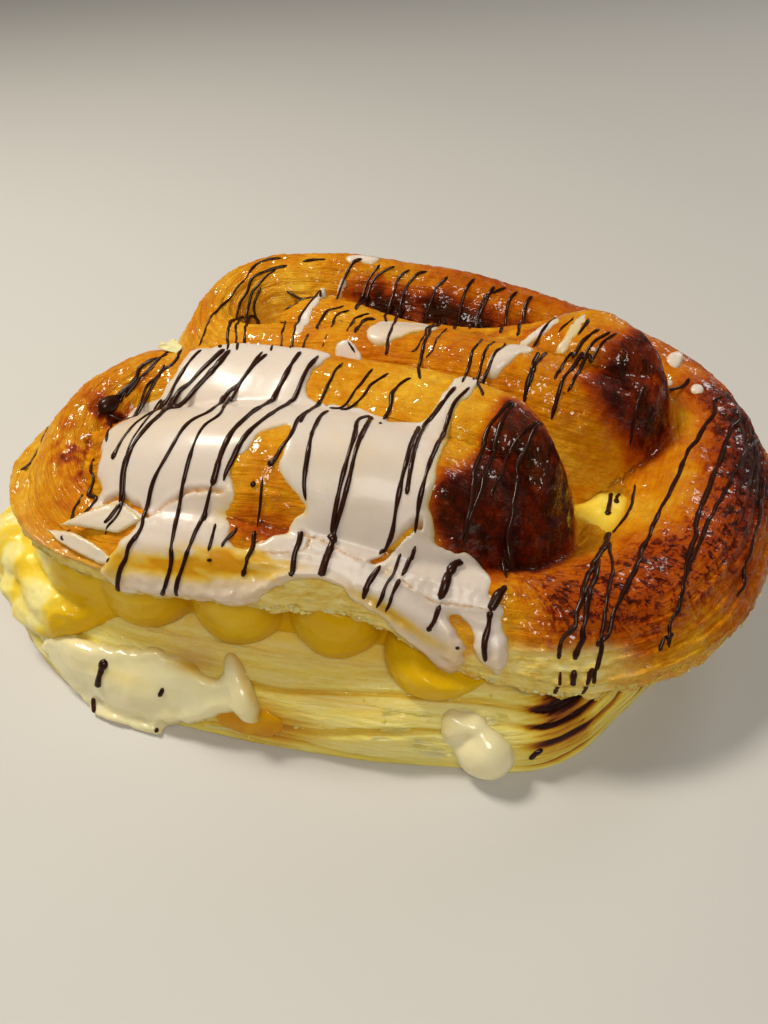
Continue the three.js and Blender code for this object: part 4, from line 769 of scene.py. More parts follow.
def gradient3(A, p, org, e=0.5):
    return np.stack([sample3(A, p + np.array(d) * e, org) - sample3(A, p - np.array(d) * e, org) for d in ((1, 0, 0), (0, 1, 0), (0, 0, 1))], 1) / (2 * e)
def drape(P, rise, A, org, lift=3.6):
    """points brought down on to a surface from outside it, with the normals there"""
    g = gradient3(LID_TOP_D, P, LID_ORG, 1.0)
    P = P - lift * g / (np.linalg.norm(g, axis=1)[:, None] + 1e-6)
    for it in range(14):
        g = gradient3(A, P, org); l = np.linalg.norm(g, axis=1)[:, None] + 1e-6
        v = np.clip(sample3(A, P, org), -3, 3) + rise
        P = P - np.clip(v[:, None] / np.maximum(l, 0.6), -1.0, 1.0) * g / l
    return P, -g / l
def make_plates():
    """thin pieces of set icing that broke off and stand a little clear of the lid"""
    V, F, base, TH, TOPS, TOPN = [], [], 0, [], [], []
    lifts = dict(shard_a=lambda x, q: 0.35 + 1.5 * sm((-46 - x) / 9) + 0.5 * sm((q + 50) / 4), shard_b=lambda x, q: 0.30 + 1.1 * sm((-48 - x) / 12))
    for k, poly in PLATES.items():
        P = np.array(poly, float); n = len(P); B = []
        for i in range(n):
            a, b = P[i], P[(i + 1) % n]; m = max(2, int(np.linalg.norm(b - a) / 0.6))
            t = (np.arange(m) / m)[:, None]; B.append(a + (b - a) * t)
        B = np.concatenate(B); B = B + 0.16 * np.stack([vn(B[:, 0] * 1.3, B[:, 1] * 1.3, 0, 351), vn(B[:, 0] * 1.3, B[:, 1] * 1.3, 5, 352)], 1)
        xs, qs = np.meshgrid(np.arange(P[:, 0].min(), P[:, 0].max(), 0.7), np.arange(P[:, 1].min(), P[:, 1].max(), 0.7)); xs, qs = xs.ravel(), qs.ravel()
        keep = sdf(xs, qs, B) > 0.4
        A2 = np.concatenate([B, np.stack([xs[keep], qs[keep]], 1)]); nb = len(B)
        vs, _, fs, ov, _, _ = delaunay_2d_cdt([Vector(v) for v in A2], [(i, (i + 1) % nb) for i in range(nb)], [], 1, 1e-7)
        idx = [o[0] for o in ov]; tri = np.array([[idx[j] for j in f] for f in fs if len(f) == 3])
        c = A2[tri]; ar = (c[:, 1, 0] - c[:, 0, 0]) * (c[:, 2, 1] - c[:, 0, 1]) - (c[:, 1, 1] - c[:, 0, 1]) * (c[:, 2, 0] - c[:, 0, 0])
        tri = np.where((ar > 0)[:, None], tri, tri[:, ::-1])
        S = np.array([unchart(a, b) for a, b in A2]); S, N = drape(S, 0.0, LID_TOP_D, LID_ORG, 1.0)
        up = lifts[k](A2[:, 0], A2[:, 1]) + 0.10 * vn(A2[:, 0] / 3, A2[:, 1] / 3, 0, 353)
        edge = np.clip(sdf(A2[:, 0], A2[:, 1], B) / 0.5, 0, 1)
        top, bot = S + N * (up + 0.30 + 0.16 * np.sqrt(edge))[:, None], S + N * (up - 0.18)[:, None]
        TOPS.append(top); TOPN.append(N)
        if area_sign(B) < 0: ring = np.arange(nb)[::-1]
        else: ring = np.arange(nb)
        nx = np.roll(ring, -1); n2 = len(A2)
        V.append(np.concatenate([top, bot])); TH.append(np.concatenate([0.12 + 0.3 * (1 - edge), np.full(n2, 0.3)]))
        F += [tri + base, tri[:, ::-1] + n2 + base, np.stack([ring, nx, nx + n2, ring + n2], 1)[:, ::-1] + base]; base += 2 * n2
    V, TH = np.concatenate(V), np.concatenate(TH)
    global PLATE_TOP
    PLATE_TOP = (np.concatenate(TOPS), np.concatenate(TOPN))
    emit("palmier_icing_plates", V, F, dict(thin=TH, lip=np.zeros(len(V)), crack=np.zeros(len(V))), ICING)
def area_sign(B): return np.sum(B[:, 0] * np.roll(B[:, 1], -1) - np.roll(B[:, 0], -1) * B[:, 1])

# ------------------------------------------------------------------ what ran down on to the base
POOL = np.array([(-66,-63),(-61,-60.5),(-57.6,-60.2),(-52.3,-60.6),(-48.7,-60.4),(-45.1,-60),(-41,-58.6),(-36.7,-58),(-32.1,-57.8),(-28,-60.4),(-25.5,-62.3),(-24,-61.8),(-23.3,-58.5),(-23.2,-56.2),(-21.8,-56),
 (-20,-58.4),(-17.2,-61.9),(-15,-65.5),(-14.2,-69),(-15.2,-71.6),(-17,-71.6),(-18.6,-70.2),(-20.5,-70.4),(-22.5,-71.6),(-24.5,-74),(-27.4,-76.6),(-31.9,-78.5),(-34.5,-80.8),(-35.2,-83.4),(-37.4,-84.4),(-40.3,-84.2),(-42.8,-83.6),(-45.6,-84),(-49.2,-83.2),(-51.9,-82.4),(-54.7,-80.9),(-57.4,-79),(-60.8,-76.4),(-65,-71),(-67.5,-66.5)], float)
SYRUP = np.array([(-25,-73.6),(-23.5,-70.5),(-21,-68),(-18,-69),(-15.5,-70),(-13.4,-67.6),(-13.4,-66.2),(-12.1,-66.0),(-9.6,-67),(-7.4,-69.8),(-7.8,-73.2),(-9.8,-75.6),(-12.6,-76.9),(-16.8,-77.6),(-20.7,-77.4),(-24.2,-76)], float)
SYRUP = np.array([-17.0, -72.8]) + 0.80 * (SYRUP - np.array([-17.0, -72.8]))
DRIP = [(-22.9,-55.9,15.9,0.9),(-22.0,-57.0,16.0,1.2),(-21.0,-58.3,15.9,1.6),(-19.9,-59.6,15.0,1.8),(-18.7,-60.8,13.9,2.0),(-17.6,-61.8,12.6,2.2),(-16.9,-62.7,11.0,2.2),(-16.5,-63.3,9.5,1.8)]
def make_film(name, lo, hi, outline, thick, mat, drops=(), least=80):
    h = 0.4; xs, ys, zs = (axis(lo[k], hi[k], h) for k in range(3))
    X, Y = np.meshgrid(xs, ys, indexing="ij"); Z = zs[None, None, :]
    D = base_inset(X, Y)[:, :, None]; hi_z = (BTOP - BSINK * sm((X - 10) / 50))[:, :, None]
    u = 1 - np.clip(D / BSLOPE, -1.2, 1); w = np.maximum(Z - EDGE, 0) / (hi_z - EDGE)
    f = (1 - np.sqrt(np.maximum(u, 0) ** 2.2 + w * w)).astype(np.float32); PB = f / np.maximum(grad_len(f, h), 0.02)
    PB = smax(PB, -Z + 0 * PB, 1.6)
    near = PB > -4; I = np.nonzero(near); y, z = Y[I[0], I[1]], zs[I[2]]; x, q = X[I[0], I[1]], base_q(y, z)
    m = np.maximum(-5, sdf(x + 0.7 * vn(x / 2.1, q / 2.1, 0, 331), q + 0.7 * vn(x / 2.1, q / 2.1, 5, 333) + 0.9 * vn(x / 5, 0, 7, 334) * sm((q + 64) / 4), spline(outline, 2, True)))
    base, r = thick(x, q, m)
    T = np.where(m > 0, base * np.sqrt(np.clip(1 - (1 - np.clip(m / r, 0, 1)) ** 2, 0, 1)), m * 2.0)
    v = np.minimum(T + PB[I], 0.95 - PB[I])
    phi = np.full(PB.shape, -1.2, np.float32); phi[I] = v
    for cx, cy, cz, rr in drops:
        phi = smax(phi, (rr - np.sqrt(((X - cx) ** 2 + (Y - cy) ** 2)[:, :, None] + (Z - cz) ** 2)).astype(np.float32), 1.8)
    phi = np.minimum(np.minimum(phi, Z - 0.05), (Y[:, :, None] + 68.3))
    p, qd, t = polygonize(phi.astype(np.float32), lo, h)
    p, qd = keep_big(relax(p, qd, 0.5, 2), qd, least)
    n = normals(p, qd); x, y, z = p.T
    p = p + n * (0.14 * fbm(x / 3, y / 3, z / 3, 2, 337) + 0.16 * (0.4 - np.abs(vn(x / 5, y / 5, z / 2.6, 339))))[:, None]; p[:, 2] = np.maximum(p[:, 2], 0.03)
    q = base_q(y, z); m = sdf(x, q, spline(outline, 2, True))
    thin = np.clip(0.36 * spot(x, q, -30, -60, 5, 2) + 0.12 * spot(x, q, -46, -68, 10, 2) + 0.12 + 0.22 * np.exp(-np.maximum(m, 0) / 0.7), 0, 1)
    emit(name, p, qd, dict(thin=thin, lip=np.ones(len(p)), crack=np.zeros(len(p))), mat)
    return p, n
def make_pool():
    pool = make_film("palmier_icing_pool", (-71.0, -71.0, -1.0), (-10.0, -50.0, 20.0), POOL,
              lambda x, q, m: (0.95 + 0.4 * vn(x / 8, q / 8, 0, 335) + 0.35 * vn(x / 3.5, q / 12, 0, 336) + 0.5 * np.exp(-((m - 1.8) / 1.4) ** 2) + 0.7 * spot(x, q, -46, -79, 9, 3.5), 2.2 + 3.6 * sm((q + 67) / 6) * sm((-42 - x) / 10)), ICING_WARM, DRIP)
    make_film("palmier_syrup", (-29.0, -70.0, -1.0), (-4.0, -54.0, 18.0), SYRUP, lambda x, q, m: (0.26 + 0.1 * vn(x / 4, q / 4, 0, 338), 3.8), SYRUP_MAT, (), 40)
    return pool

BLOBS = [(24.4,-55.2,10.0,3.3,3.2,3.6),(30.8,-57.0,5.7,6.0,4.8,5.6),(30.6,-56.2,10.2,2.6,2.3,1.9),(27.2,-54.9,12.2,3.2,2.4,1.5),(22.9,-55.0,12.4,1.7,1.8,1.6),(23.2,-55.2,6.6,2.4,2.8,4.4)]
def make_blob():
    lo, hi = (17.0, -66.0, -1.0), (40.0, -48.0, 17.0)
    xs, ys, zs = axis(lo[0], hi[0], 0.4), axis(lo[1], hi[1], 0.4), axis(lo[2], hi[2], 0.4)
    X, Y, Z = np.meshgrid(xs, ys, zs, indexing="ij"); phi = np.full(X.shape, -9.0)
    for cx, cy, cz, rx, ry, rz in BLOBS:
        k = np.sqrt(((X - cx) / rx) ** 2 + ((Y - cy) / ry) ** 2 + ((Z - cz) / rz) ** 2)
        phi = smax(phi, (1 - k) * min(rx, ry, rz) * 1.1, 1.2)
    phi = phi - 0.1 + 0.34 * fbm(X / 3.4, Y / 3.4, Z / 3.4, 2, 341)
    phi = np.minimum(phi, Z - 0.08)
    p, qd, t = polygonize(phi.astype(np.float32), lo, 0.4)
    p, qd = keep_big(relax(p, qd, 0.5, 3), qd, 80); p[:, 2] = np.maximum(p[:, 2], 0.05)
    emit("palmier_icing_blob", p, qd, dict(thin=np.clip(0.12 + 0.25 * sm((26 - p[:, 0]) / 6), 0, 1), lip=np.ones(len(p)), crack=np.zeros(len(p))), ICING_WARM, "icing_blob")
# ------------------------------------------------------------------ chocolate lines
# width, bead at the end, then chart points, mm
DRIZZLE = [
 (0.6, 1.9, [-55.2,-9.5, -57.5,-13.6, -62.4,-23.3]),
 (0.4, 0, [-53.6,-8.2, -56.2,-13.0, -59.6,-19.0]),
 (0.35, 0.5, [-54.0,-6.6, -55.0,-11.8, -58.6,-16.6, -60.4,-20.4]),
 (0.5, 0, [-51.7,-5.9, -51.1,-11, -58,-20.2]),
 (0.5, 0, [-52.3,-11.5, -54.1,-16.8, -59.6,-23.6, -55.2,-33.8]),
 (0.4, 0, [-80.8,-21.2, -77.1,-37.5]),
 (0.45, 0, [-56.6,-43.8, -56.9,-51.7]),
 (0.35, 0, [-56.2,-54.2, -55.9,-58.1]),
 (0.45, 0, [-58.1,-35.6, -57.2,-38.4, -54.5,-41.6, -53.2,-45.6, -53.8,-49.1]),
 (0.5, 0, [-45.4,-47.2, -47.7,-51.7]),
 (0.35, 0, [-45.3,-58.4, -45.5,-60.7]),
 (0.5, 0.75, [-45.8,-6.7, -48.4,-19, -48.4,-25.2, -50.3,-39]),
 (0.75, 0, [-40.5,-6.5, -44.3,-15.5, -46.6,-18.4, -45.2,-29.6, -46.6,-40.6, -45.7,-45.3]),
 (0.8, 1, [-38.8,-6.8, -40.2,-12.2, -44.2,-18.5, -46,-19.5]),
 (0.4, 0, [-48,-18.6, -50.3,-19.8, -46.9,-30.2, -47,-38.2, -45,-48, -47.4,-53.1]),
 (0.55, 0.5, [-31.5,-6.1, -33.2,-15.2, -35.6,-18.1, -34.4,-27.3, -36.8,-31.2, -37.7,-38.5, -39.8,-43.9, -39.5,-52.6, -41.3,-62.3, -43.5,-67.9]),
 (0.5, 0.5, [-30.2,-6.6, -33.7,-18.8, -31.5,-28.5, -32.8,-32.7, -33.1,-45.1, -32.1,-60.3, -33.4,-67.5]),
 (0.7, 0, [-23.6,-4.6, -27.5,-42.6]),
 (0.5, 0.4, [-27.5,-42.6, -30.5,-67]),
 (0.6, 0, [-19,-4.9, -21.2,-21.7, -25.1,-41.2]),
 (0.55, 0.7, [-15.1,-15.2, -16.6,-34.4, -17.9,-38.1]),
 (0.45, 0, [-17.6,-39.8, -17.6,-44.3]),
 (0.45, 0, [-21.3,-47.2, -23,-52.4]),
 (0.4, 0, [-25.2,-47.5, -25.1,-54.1]),
 (0.5, 0.55, [-17.4,-46.6, -18.1,-58.3]),
 (0.6, 0.6, [-9.7,-43.9, -9.4,-57.1]),
 (0.55, 0, [-12.2,-19.8, -12.3,-25.3, -10.1,-41]),
 (0.55, 0, [-3.9,-18.3, -5.3,-21.9, -4,-29.5, -4,-43]),
 (0.6, 1.1, [-3.4,-18.6, -2.7,-35.1, -4,-45]),
 (0.85, 0.7, [-3.6,-46.5, -4.3,-55.2]),
 (0.55, 0, [5.9,-16.4, 6.5,-39, 5.3,-47]),
 (0.7, 0.5, [6,-48.7, 4.3,-53.4, 4.1,-56.7]),
 (0.55, 0.5, [9.4,-10.8, 6.7,-16.2, 7.7,-35.2]),
 (0.5, 0, [10.9,-7.3, 7.1,-16.2]),
 (0.55, 0, [14,-6.6, 11.9,-14.3, 10.8,-38.7]),
 (0.55, 0, [11.3,-39.7, 9.8,-48]),
 (0.5, 0, [9.6,-49.2, 8.6,-57.6]),
 (0.5, 0, [8.4,-44.9, 6.9,-57.5]),
 (0.6, 0, [22.6,-6.6, 20.3,-11.5, 18.9,-17.3, 19.4,-35.5]),
 (0.6, 0.6, [23.1,-6.9, 21.6,-13.8, 19.8,-36.1]),
 (0.55, 0.5, [28.9,-7.7, 24.6,-17, 22.6,-28]),
 (0.7, 0, [29.4,-6.6, 27.2,-17.4, 26.9,-23.1, 28.4,-37.3]),
 (0.95, 1.0, [20.0,-38.6, 18.3,-41.8]),
 (0.95, 0, [18.4,-41.3, 17.6,-47.9]),
 (0.65, 0.6, [17.9,-49.6, 16.2,-57.1]),
 (1, 0, [28.7,-39.6, 27.2,-46.7]),
 (0.7, 0, [27.2,-46.7, 27.5,-59.3]),
 (0.4, 0, [-44.5,38.1, -49.2,36.1, -52.2,32.8, -55.1,24.4, -57.5,12.8]),
 (0.55, 0, [-43.2,36.9, -49.7,31.8, -51.9,23.6, -49.7,13.1, -41.9,-5.7]),
 (0.4, 0, [-45.3,35.1, -48.3,31.6, -50.6,23.6, -47.2,11.9, -39.7,-6.7]),
 (0.45, 0, [-47.5,30.6, -49.1,26.9, -45.5,14.4, -37.4,-6.5]),
 (0.5, 0, [-33.3,40.5, -39.3,38.6]),
 (0.5, 0.6, [-33.6,34.2, -36.8,33.4, -41.2,30.7]),
 (0.5, 0, [-24.3,41.9, -26.8,40.1, -28.6,34.4]),
 (0.45, 0, [-31.9,34.9, -34.1,22.2, -32.8,13.3, -26.7,-3.2]),
 (0.4, 0, [-35,33.8, -37.7,32, -38.4,28.5]),
 (0.35, 0, [-38.3,22.5, -29.7,-5.4]),
 (0.45, 0, [-23.7,26.3, -27.6,23.8, -28.3,20.6, -27.3,15.8]),
 (0.4, 0, [-22.9,25.2, -25.1,22.5, -24.1,16.6]),
 (0.55, 0, [-28.4,13.9, -29.4,10.5]),
 (0.4, 0, [-17.1,25.6, -20,22.6, -20,15.5]),
 (0.6, 0, [-15.4,23.9, -18,21.9, -17.6,14.4]),
 (0.35, 0, [-24.1,13.8, -24.5,11.1]),
 (0.4, 0, [-18.2,13, -15.9,11]),
 (0.45, 0, [-19.4,42.2, -22.3,35.5, -20.6,25.2]),
 (0.5, 0, [-15.6,42.7, -18.4,40.6, -20.6,37.2, -20.7,26.3]),
 (0.5, 0, [-11.7,43.1, -15.3,37.1, -12.7,23.6]),
 (0.45, 0, [-7.9,43.6, -12.2,37.3, -8.7,13.5, -9,11.4]),
 (0.45, 0, [-2.3,44, -4.7,41.3, -5.9,37]),
 (0.5, 0, [4.6,45.8, 2.6,39.1, 4,26]),
 (0.5, 0, [-0.3,37.5, -0.8,10.8, 2.8,-6.1]),
 (0.35, 0, [-2,37.1, -1.6,15.4, -3.1,12.3]),
 (0.35, 0, [2.2,25.1, 1.6,14.8, 0.4,11.6]),
 (0.5, 0, [9.9,45.7, 6.6,39]),
 (0.45, 0, [12.6,46.5, 9.1,43.8, 6.8,40.1, 7.4,27]),
 (0.5, 0, [15.3,46.4, 14,42.5, 14.8,26.2]),
 (0.6, 0, [19.7,47, 18.5,43.3, 19,24.7]),
 (0.5, 0, [16.9,20.1, 14.3,10.4, 16.5,-7.3]),
 (0.5, 0, [11.9,20.3, 10.1,10.8, 12,-5.6]),
 (0.45, 0, [14.5,20.3, 13,12.7, 14.3,-3.9]),
 (0.65, 0, [25,18.2, 24,7.7]),
 (0.45, 0, [26.7,19.2, 24.3,9.2]),
 (0.55, 0, [39.3,27.2, 34.4,19.5, 30.4,6.5]),
 (0.55, 0, [37.3,27.4, 32.2,20.0, 29.2,10.8]),
 (0.45, 0, [41.4,27.1, 36.2,19.5, 32.7,9.6]),
 (0.45, 0, [26.8,32.6, 24.1,21.4]),
 (0.45, 0, [30.8,29.8, 28.6,25]),
 (0.5, 0, [34.7,29.5, 32.7,24.5]),
 (0.45, 0, [-13.7,-5.3, -15.6,-19.9, -15.1,-27.6]),
 (0.45, 0, [-7.7,-5.5, -9.4,-14, -12.5,-17.8]),
 (0.45, 0, [-3.9,-6, -6.5,-9.7, -7.9,-14.1, -10.2,-17]),
 (0.55, 0, [1.3,-6.1, -0.7,-9.1, -0.8,-16.9]),
 (0.6, 0, [49.3,20.4, 48.4,15.4, 48.8,10.8]),
 (0.5, 0, [51.5,16.8, 51.4,14]),
 (0.5, 0, [60.4,35.4, 58.8,30.5]),
 (0.5, 0, [51.6,4.6, 51.5,1.0, 51.0,-3.5, 50.1,-6.8, 48.8,-10.0, 48.0,-12.4]),
 (0.6, 0, [68.1,31.4, 58.9,2.3, 49.7,-37.9, 48.1,-57.4]),
 (0.65, 0.5, [72.9,27.4, 69.4,17.4, 65,-3.6, 61.1,-29.2, 60.5,-40.1]),
 (0.55, 0, [78.1,26.6, 69.7,2.8, 62.4,-22.5]),
 (0.5, 0, [79.3,14.4, 74,-21.3]),
 (0.8, 0, [47.5,-12.1, 45,-24.7]),
 (0.6, 0.5, [45.6,-20.3, 42.3,-40, 41.4,-53.2]),
 (0.7, 0.7, [45.7,-23.7, 44.1,-39.2, 44.2,-50.8]),
 (0.5, 0.4, [47.2,-16.2, 48,-23.5, 47.7,-48.3]),
 (0.5, 0.5, [41.9,-58, 41.7,-63]),
 (0.6, 0.7, [44.3,-59.7, 44.3,-55.9]),
 (0.55, 0.4, [47.2,-52.1, 47,-60.4]),
 (0.5, 0, [48.7,-46, 48,-57.8]),
 (0.5, 0, [59.8,-38.5, 59.6,-42.7]),
 (0.5, 0, [61,-36.5, 60.8,-40.8]),
]
# on the base's icing: width, bead, points in mm
DABS = [("pool", 0.75, 1.1, [(-50,-65.2,7.4),(-49.7,-64.6,9.6),(-49.3,-63.7,11.6),(-48.8,-62.4,13.4)]), ("pool", 0.65, 0.6, [(-51.1,-67.6,1.2),(-52.1,-66.6,2.2),(-52.1,-66.3,3.4)]),
        ("pool", 0.5, 0.4, [(-35.3,-65.3,9.9),(-34.7,-64.2,11.6)]), ("pool", 0.5, 0.5, [(-36.0,-68.0,1.3),(-36.7,-67.6,1.4)]), ("base", 0.6, 0.4, [(40.0,-56.4,5.3),(40.9,-55.8,7.0),(42.0,-54.9,8.1)]),
        ("cream", 0.5, 0.8, [(47.0,5.2,25.5),(46.9,1.8,25.5),(46.7,-2.6,25.4)]), ("cream", 0.45, 0.65, [(48.8,5.6,25.5),(48.4,4.0,25.5),(48.0,1.8,25.5)])]
def tube(P, N, W, sides=8):
    T = np.gradient(P, axis=0); T /= np.linalg.norm(T, axis=1)[:, None] + 1e-9
    N = N - (N * T).sum(1)[:, None] * T; N /= np.linalg.norm(N, axis=1)[:, None] + 1e-9
    B = np.cross(T, N); a = np.arange(sides) / sides * 2 * np.pi
    V = P[:, None, :] + W[:, None, None] * (np.cos(a)[None, :, None] * B[:, None, :] + 0.72 * np.sin(a)[None, :, None] * N[:, None, :])
    n = len(P); V = V.reshape(-1, 3)
    i = np.arange(n - 1)[:, None] * sides; j = np.arange(sides)[None, :]; k = (j + 1) % sides
    q = np.stack([i + j, i + sides + j, i + sides + k, i + k], -1).reshape(-1, 4)
    c0, c1 = len(V), len(V) + 1
    V = np.concatenate([V, P[:1] - T[:1] * W[0] * 0.5, P[-1:] + T[-1:] * W[-1] * 0.5])
    jj = np.arange(sides); kk = (jj + 1) % sides; l = (n - 1) * sides
    t = np.concatenate([np.stack([np.full(sides, c0), jj, kk], 1), np.stack([np.full(sides, c1), l + kk, l + jj], 1)])
    return V, q, t
def make_drizzle(full, below):
    org = LID_ORG
    V, Q, T, base = [], [], [], 0
    r = np.random.default_rng(11)
    for k, (w, bead, pts) in enumerate(DRIZZLE):
        C = np.array(pts, float).reshape(-1, 2)
        C = spline(C, 6, False) if len(C) > 2 else C
        L = np.concatenate([[0], np.cumsum(np.linalg.norm(np.diff(C, axis=0), axis=1))])
        n = max(4, int(L[-1] / 0.55)); s = np.linspace(0, L[-1], n)
        x, q = np.interp(s, L, C[:, 0]), np.interp(s, L, C[:, 1])
        ph = r.uniform(0, 100)
        x = x + 0.14 * vn(s / 4.2 + ph, 0, 0, 401)
        P = np.array([unchart(a, b) for a, b in zip(x, q)])
        P, N = drape(P, 0.10 * w, full, org)
        d = ((P[:, None] - PLATE_TOP[0][None]) ** 2).sum(2); j = d.argmin(1); v = PLATE_TOP[0][j] - P; out_ = (v * PLATE_TOP[1][j]).sum(1)
        on = (d.min(1) < 9) & (np.linalg.norm(v - out_[:, None] * PLATE_TOP[1][j], axis=1) < 0.55) & (out_ > -0.2)
        P[on] = P[on] + (out_[on, None] + 0.12 * w) * PLATE_TOP[1][j][on]
        for _ in range(3 if on.any() else 5): P[1:-1] = 0.25 * P[:-2] + 0.5 * P[1:-1] + 0.25 * P[2:]; N[1:-1] = 0.25 * N[:-2] + 0.5 * N[1:-1] + 0.25 * N[2:]
        ok = (np.abs(sample3(full, P, org)) < 1.4) | on
        if ok.sum() < 4: print("line off the surface", k); continue
        P, N, s = P[ok], N[ok], s[ok] - s[ok][0]
        W = (0.76 * w if w < 0.8 else 0.85 * w) * (1 + 0.24 * vn(s / 2.6 + ph, 3, 0, 403) + 0.12 * vn(s / 0.9 + ph, 5, 0, 404))
        end = s[-1]
        W = W * np.sqrt(np.clip(s / 0.8 + 0.12, 0, 1)) * np.sqrt(np.clip((end - s) / (0.8 if bead == 0 else 0.5) + 0.12, 0, 1))
        if bead: W = np.maximum(W, bead * np.sqrt(np.clip(1 - ((s - (end - bead * 0.9)) / (bead * 1.15)) ** 2, 0, 1)))
        a, b, c = tube(P, N, W)
        V.append(a); Q.append(b + base); T.append(c + base); base += len(a)
    for x, q, rr in ((-19.9, -40.6, 0.55), (-27.6, -46.8, 0.35), (-24.5, -56.3, 0.5), (23.0, -57.5, 0.45), (-1.0, -20.6, 0.35)):   # stray drops
        P, N = drape(np.array([unchart(x, q), unchart(x, q - 0.5)]), 0.0, full, org)
        P = P[0] + (P[1] - P[0]) * np.linspace(-0.5, 1.5, 7)[:, None]; N = np.repeat(N[:1], 7, 0)
        a, b, c = tube(P, N, rr * np.sqrt(np.clip(1 - (np.linspace(-1, 1, 7)) ** 2, 0.02, 1)))
        V.append(a); Q.append(b + base); T.append(c + base); base += len(a)
    for key, w, bead, pts in DABS:
        C = spline(np.array(pts, float), 6, False); sp, sn = below[key]
        k = [int(np.argmin(((sp - c) ** 2).sum(1))) for c in C]; C, CN = sp[k] + 0.15 * w * sn[k], sn[k].copy()
        for _ in range(4): C[1:-1] = 0.25 * C[:-2] + 0.5 * C[1:-1] + 0.25 * C[2:]; CN[1:-1] = 0.25 * CN[:-2] + 0.5 * CN[1:-1] + 0.25 * CN[2:]
        s = np.concatenate([[0], np.cumsum(np.linalg.norm(np.diff(C, axis=0), axis=1))])
        W = w * (1 + 0.2 * vn(s / 1.5, w * 9, 0, 406)) * np.sqrt(np.clip(np.minimum(s, s[-1] - s) / 0.5 + 0.15, 0, 1))
        W = np.maximum(W, bead * np.sqrt(np.clip(1 - ((s - (s[-1] - bead * 0.9)) / (bead * 1.1)) ** 2, 0, 1)))
        a, b, c = tube(C, CN, W)
        V.append(a); Q.append(b + base); T.append(c + base); base += len(a)
    emit("palmier_chocolate", np.concatenate(V), [np.concatenate(Q), np.concatenate(T)], {}, CHOCO)
def icing_material(name, tone):
    m = Mat(name); o = m.obj; thin, lip = m.attr("thin"), m.attr("lip")
    n1, n2 = m.noise(o, 130.0, 3.0, 0.5), m.noise(o, 1100.0, 3.0, 0.6)
    t = m.add(thin, m.mul(m.add(n1, -0.5), 0.26))
    col = m.ramp(t, tone)
    col = m.mix(m.mul(m.attr("crack"), 0.8), col, (204, 146, 60))
    m.set(Base_Color=col, Roughness=m.rng(lip, 0, 1, 0.34, 0.20), Normal=m.bump(m.add(m.mul(n1, 0.8), m.mul(n2, 0.40)), 0.20, 0.0006), Coat_Weight=m.rng(lip, 0, 1, 0.14, 0.55), Coat_Roughness=0.09,
          Subsurface_Weight=0.4, Subsurface_Radius=(1.0, 0.66, 0.38), Subsurface_Scale=0.0028, IOR=1.40)
    return m.m
def syrup_material():
    m = Mat("syrup"); n = m.noise(m.obj, 220.0, 3.0, 0.5)
    m.set(Base_Color=m.ramp(n, [(0.3, (204, 132, 0)), (0.7, (220, 160, 4))]), Roughness=0.30, Normal=m.bump(n, 0.25, 0.0008), Specular_IOR_Level=0.04, Coat_Weight=0.25, Coat_Roughness=0.03)
    return m.m
def chocolate_material():
    m = Mat("dark_chocolate"); n = m.noise(m.obj, 500.0, 3.0, 0.5)
    m.set(Base_Color=m.ramp(n, [(0.3, (32, 10, 4)), (0.7, (54, 20, 7))]), Roughness=m.rng(n, 0.3, 0.7, 0.40, 0.50), Normal=m.bump(n, 0.10, 0.0004), Specular_IOR_Level=0.14, Specular_Tint=(1.0, 0.75, 0.55, 1.0), Coat_Weight=0.28, Coat_Roughness=0.10)
    return m.m
# ------------------------------------------------------------------ crumbs and flakes of pastry
ICO_V = np.array([(0,1,1.618),(0,-1,1.618),(0,1,-1.618),(0,-1,-1.618),(1,1.618,0),(-1,1.618,0),(1,-1.618,0),(-1,-1.618,0),(1.618,0,1),(-1.618,0,1),(1.618,0,-1),(-1.618,0,-1)], float) / 1.9
def _ico_faces():
    c = [(i, j, k) for i in range(12) for j in range(i + 1, 12) for k in range(j + 1, 12)
         if all(np.linalg.norm(ICO_V[a] - ICO_V[b]) < 1.1 for a, b in ((i, j), (j, k), (i, k)))]
    out = []
    for i, j, k in c:
        n = np.cross(ICO_V[j] - ICO_V[i], ICO_V[k] - ICO_V[i]); out.append((i, j, k) if n @ (ICO_V[i] + ICO_V[j] + ICO_V[k]) > 0 else (i, k, j))
    return np.array(out)
def frames(N, r):
    a = r.normal(size=N.shape); a -= (a * N).sum(1)[:, None] * N; a /= np.linalg.norm(a, axis=1)[:, None] + 1e-9
    return a, np.cross(N, a)
def crumbs(P, N, size, r, sink=0.35, flat=0.7):
    """irregular grains, each set a little into the surface it sits on"""
    A, B = frames(N, r); F = _ico_faces(); n = len(P)
    V = ICO_V[None] * (1 + 0.38 * r.uniform(-1, 1, (n, 12, 1))) * np.stack([r.uniform(0.7, 1.3, n), r.uniform(0.7, 1.3, n), r.uniform(0.8, 1.1, n) * flat], 1)[:, None, :]
    V = V * size[:, None, None]
    W = P[:, None] + V[:, :, :1] * A[:, None] + V[:, :, 1:2] * B[:, None] + (V[:, :, 2:] + (size * flat * sink)[:, None, None]) * N[:, None]
    return W.reshape(-1, 3), (F[None] + (np.arange(n) * 12)[:, None, None]).reshape(-1, 3)
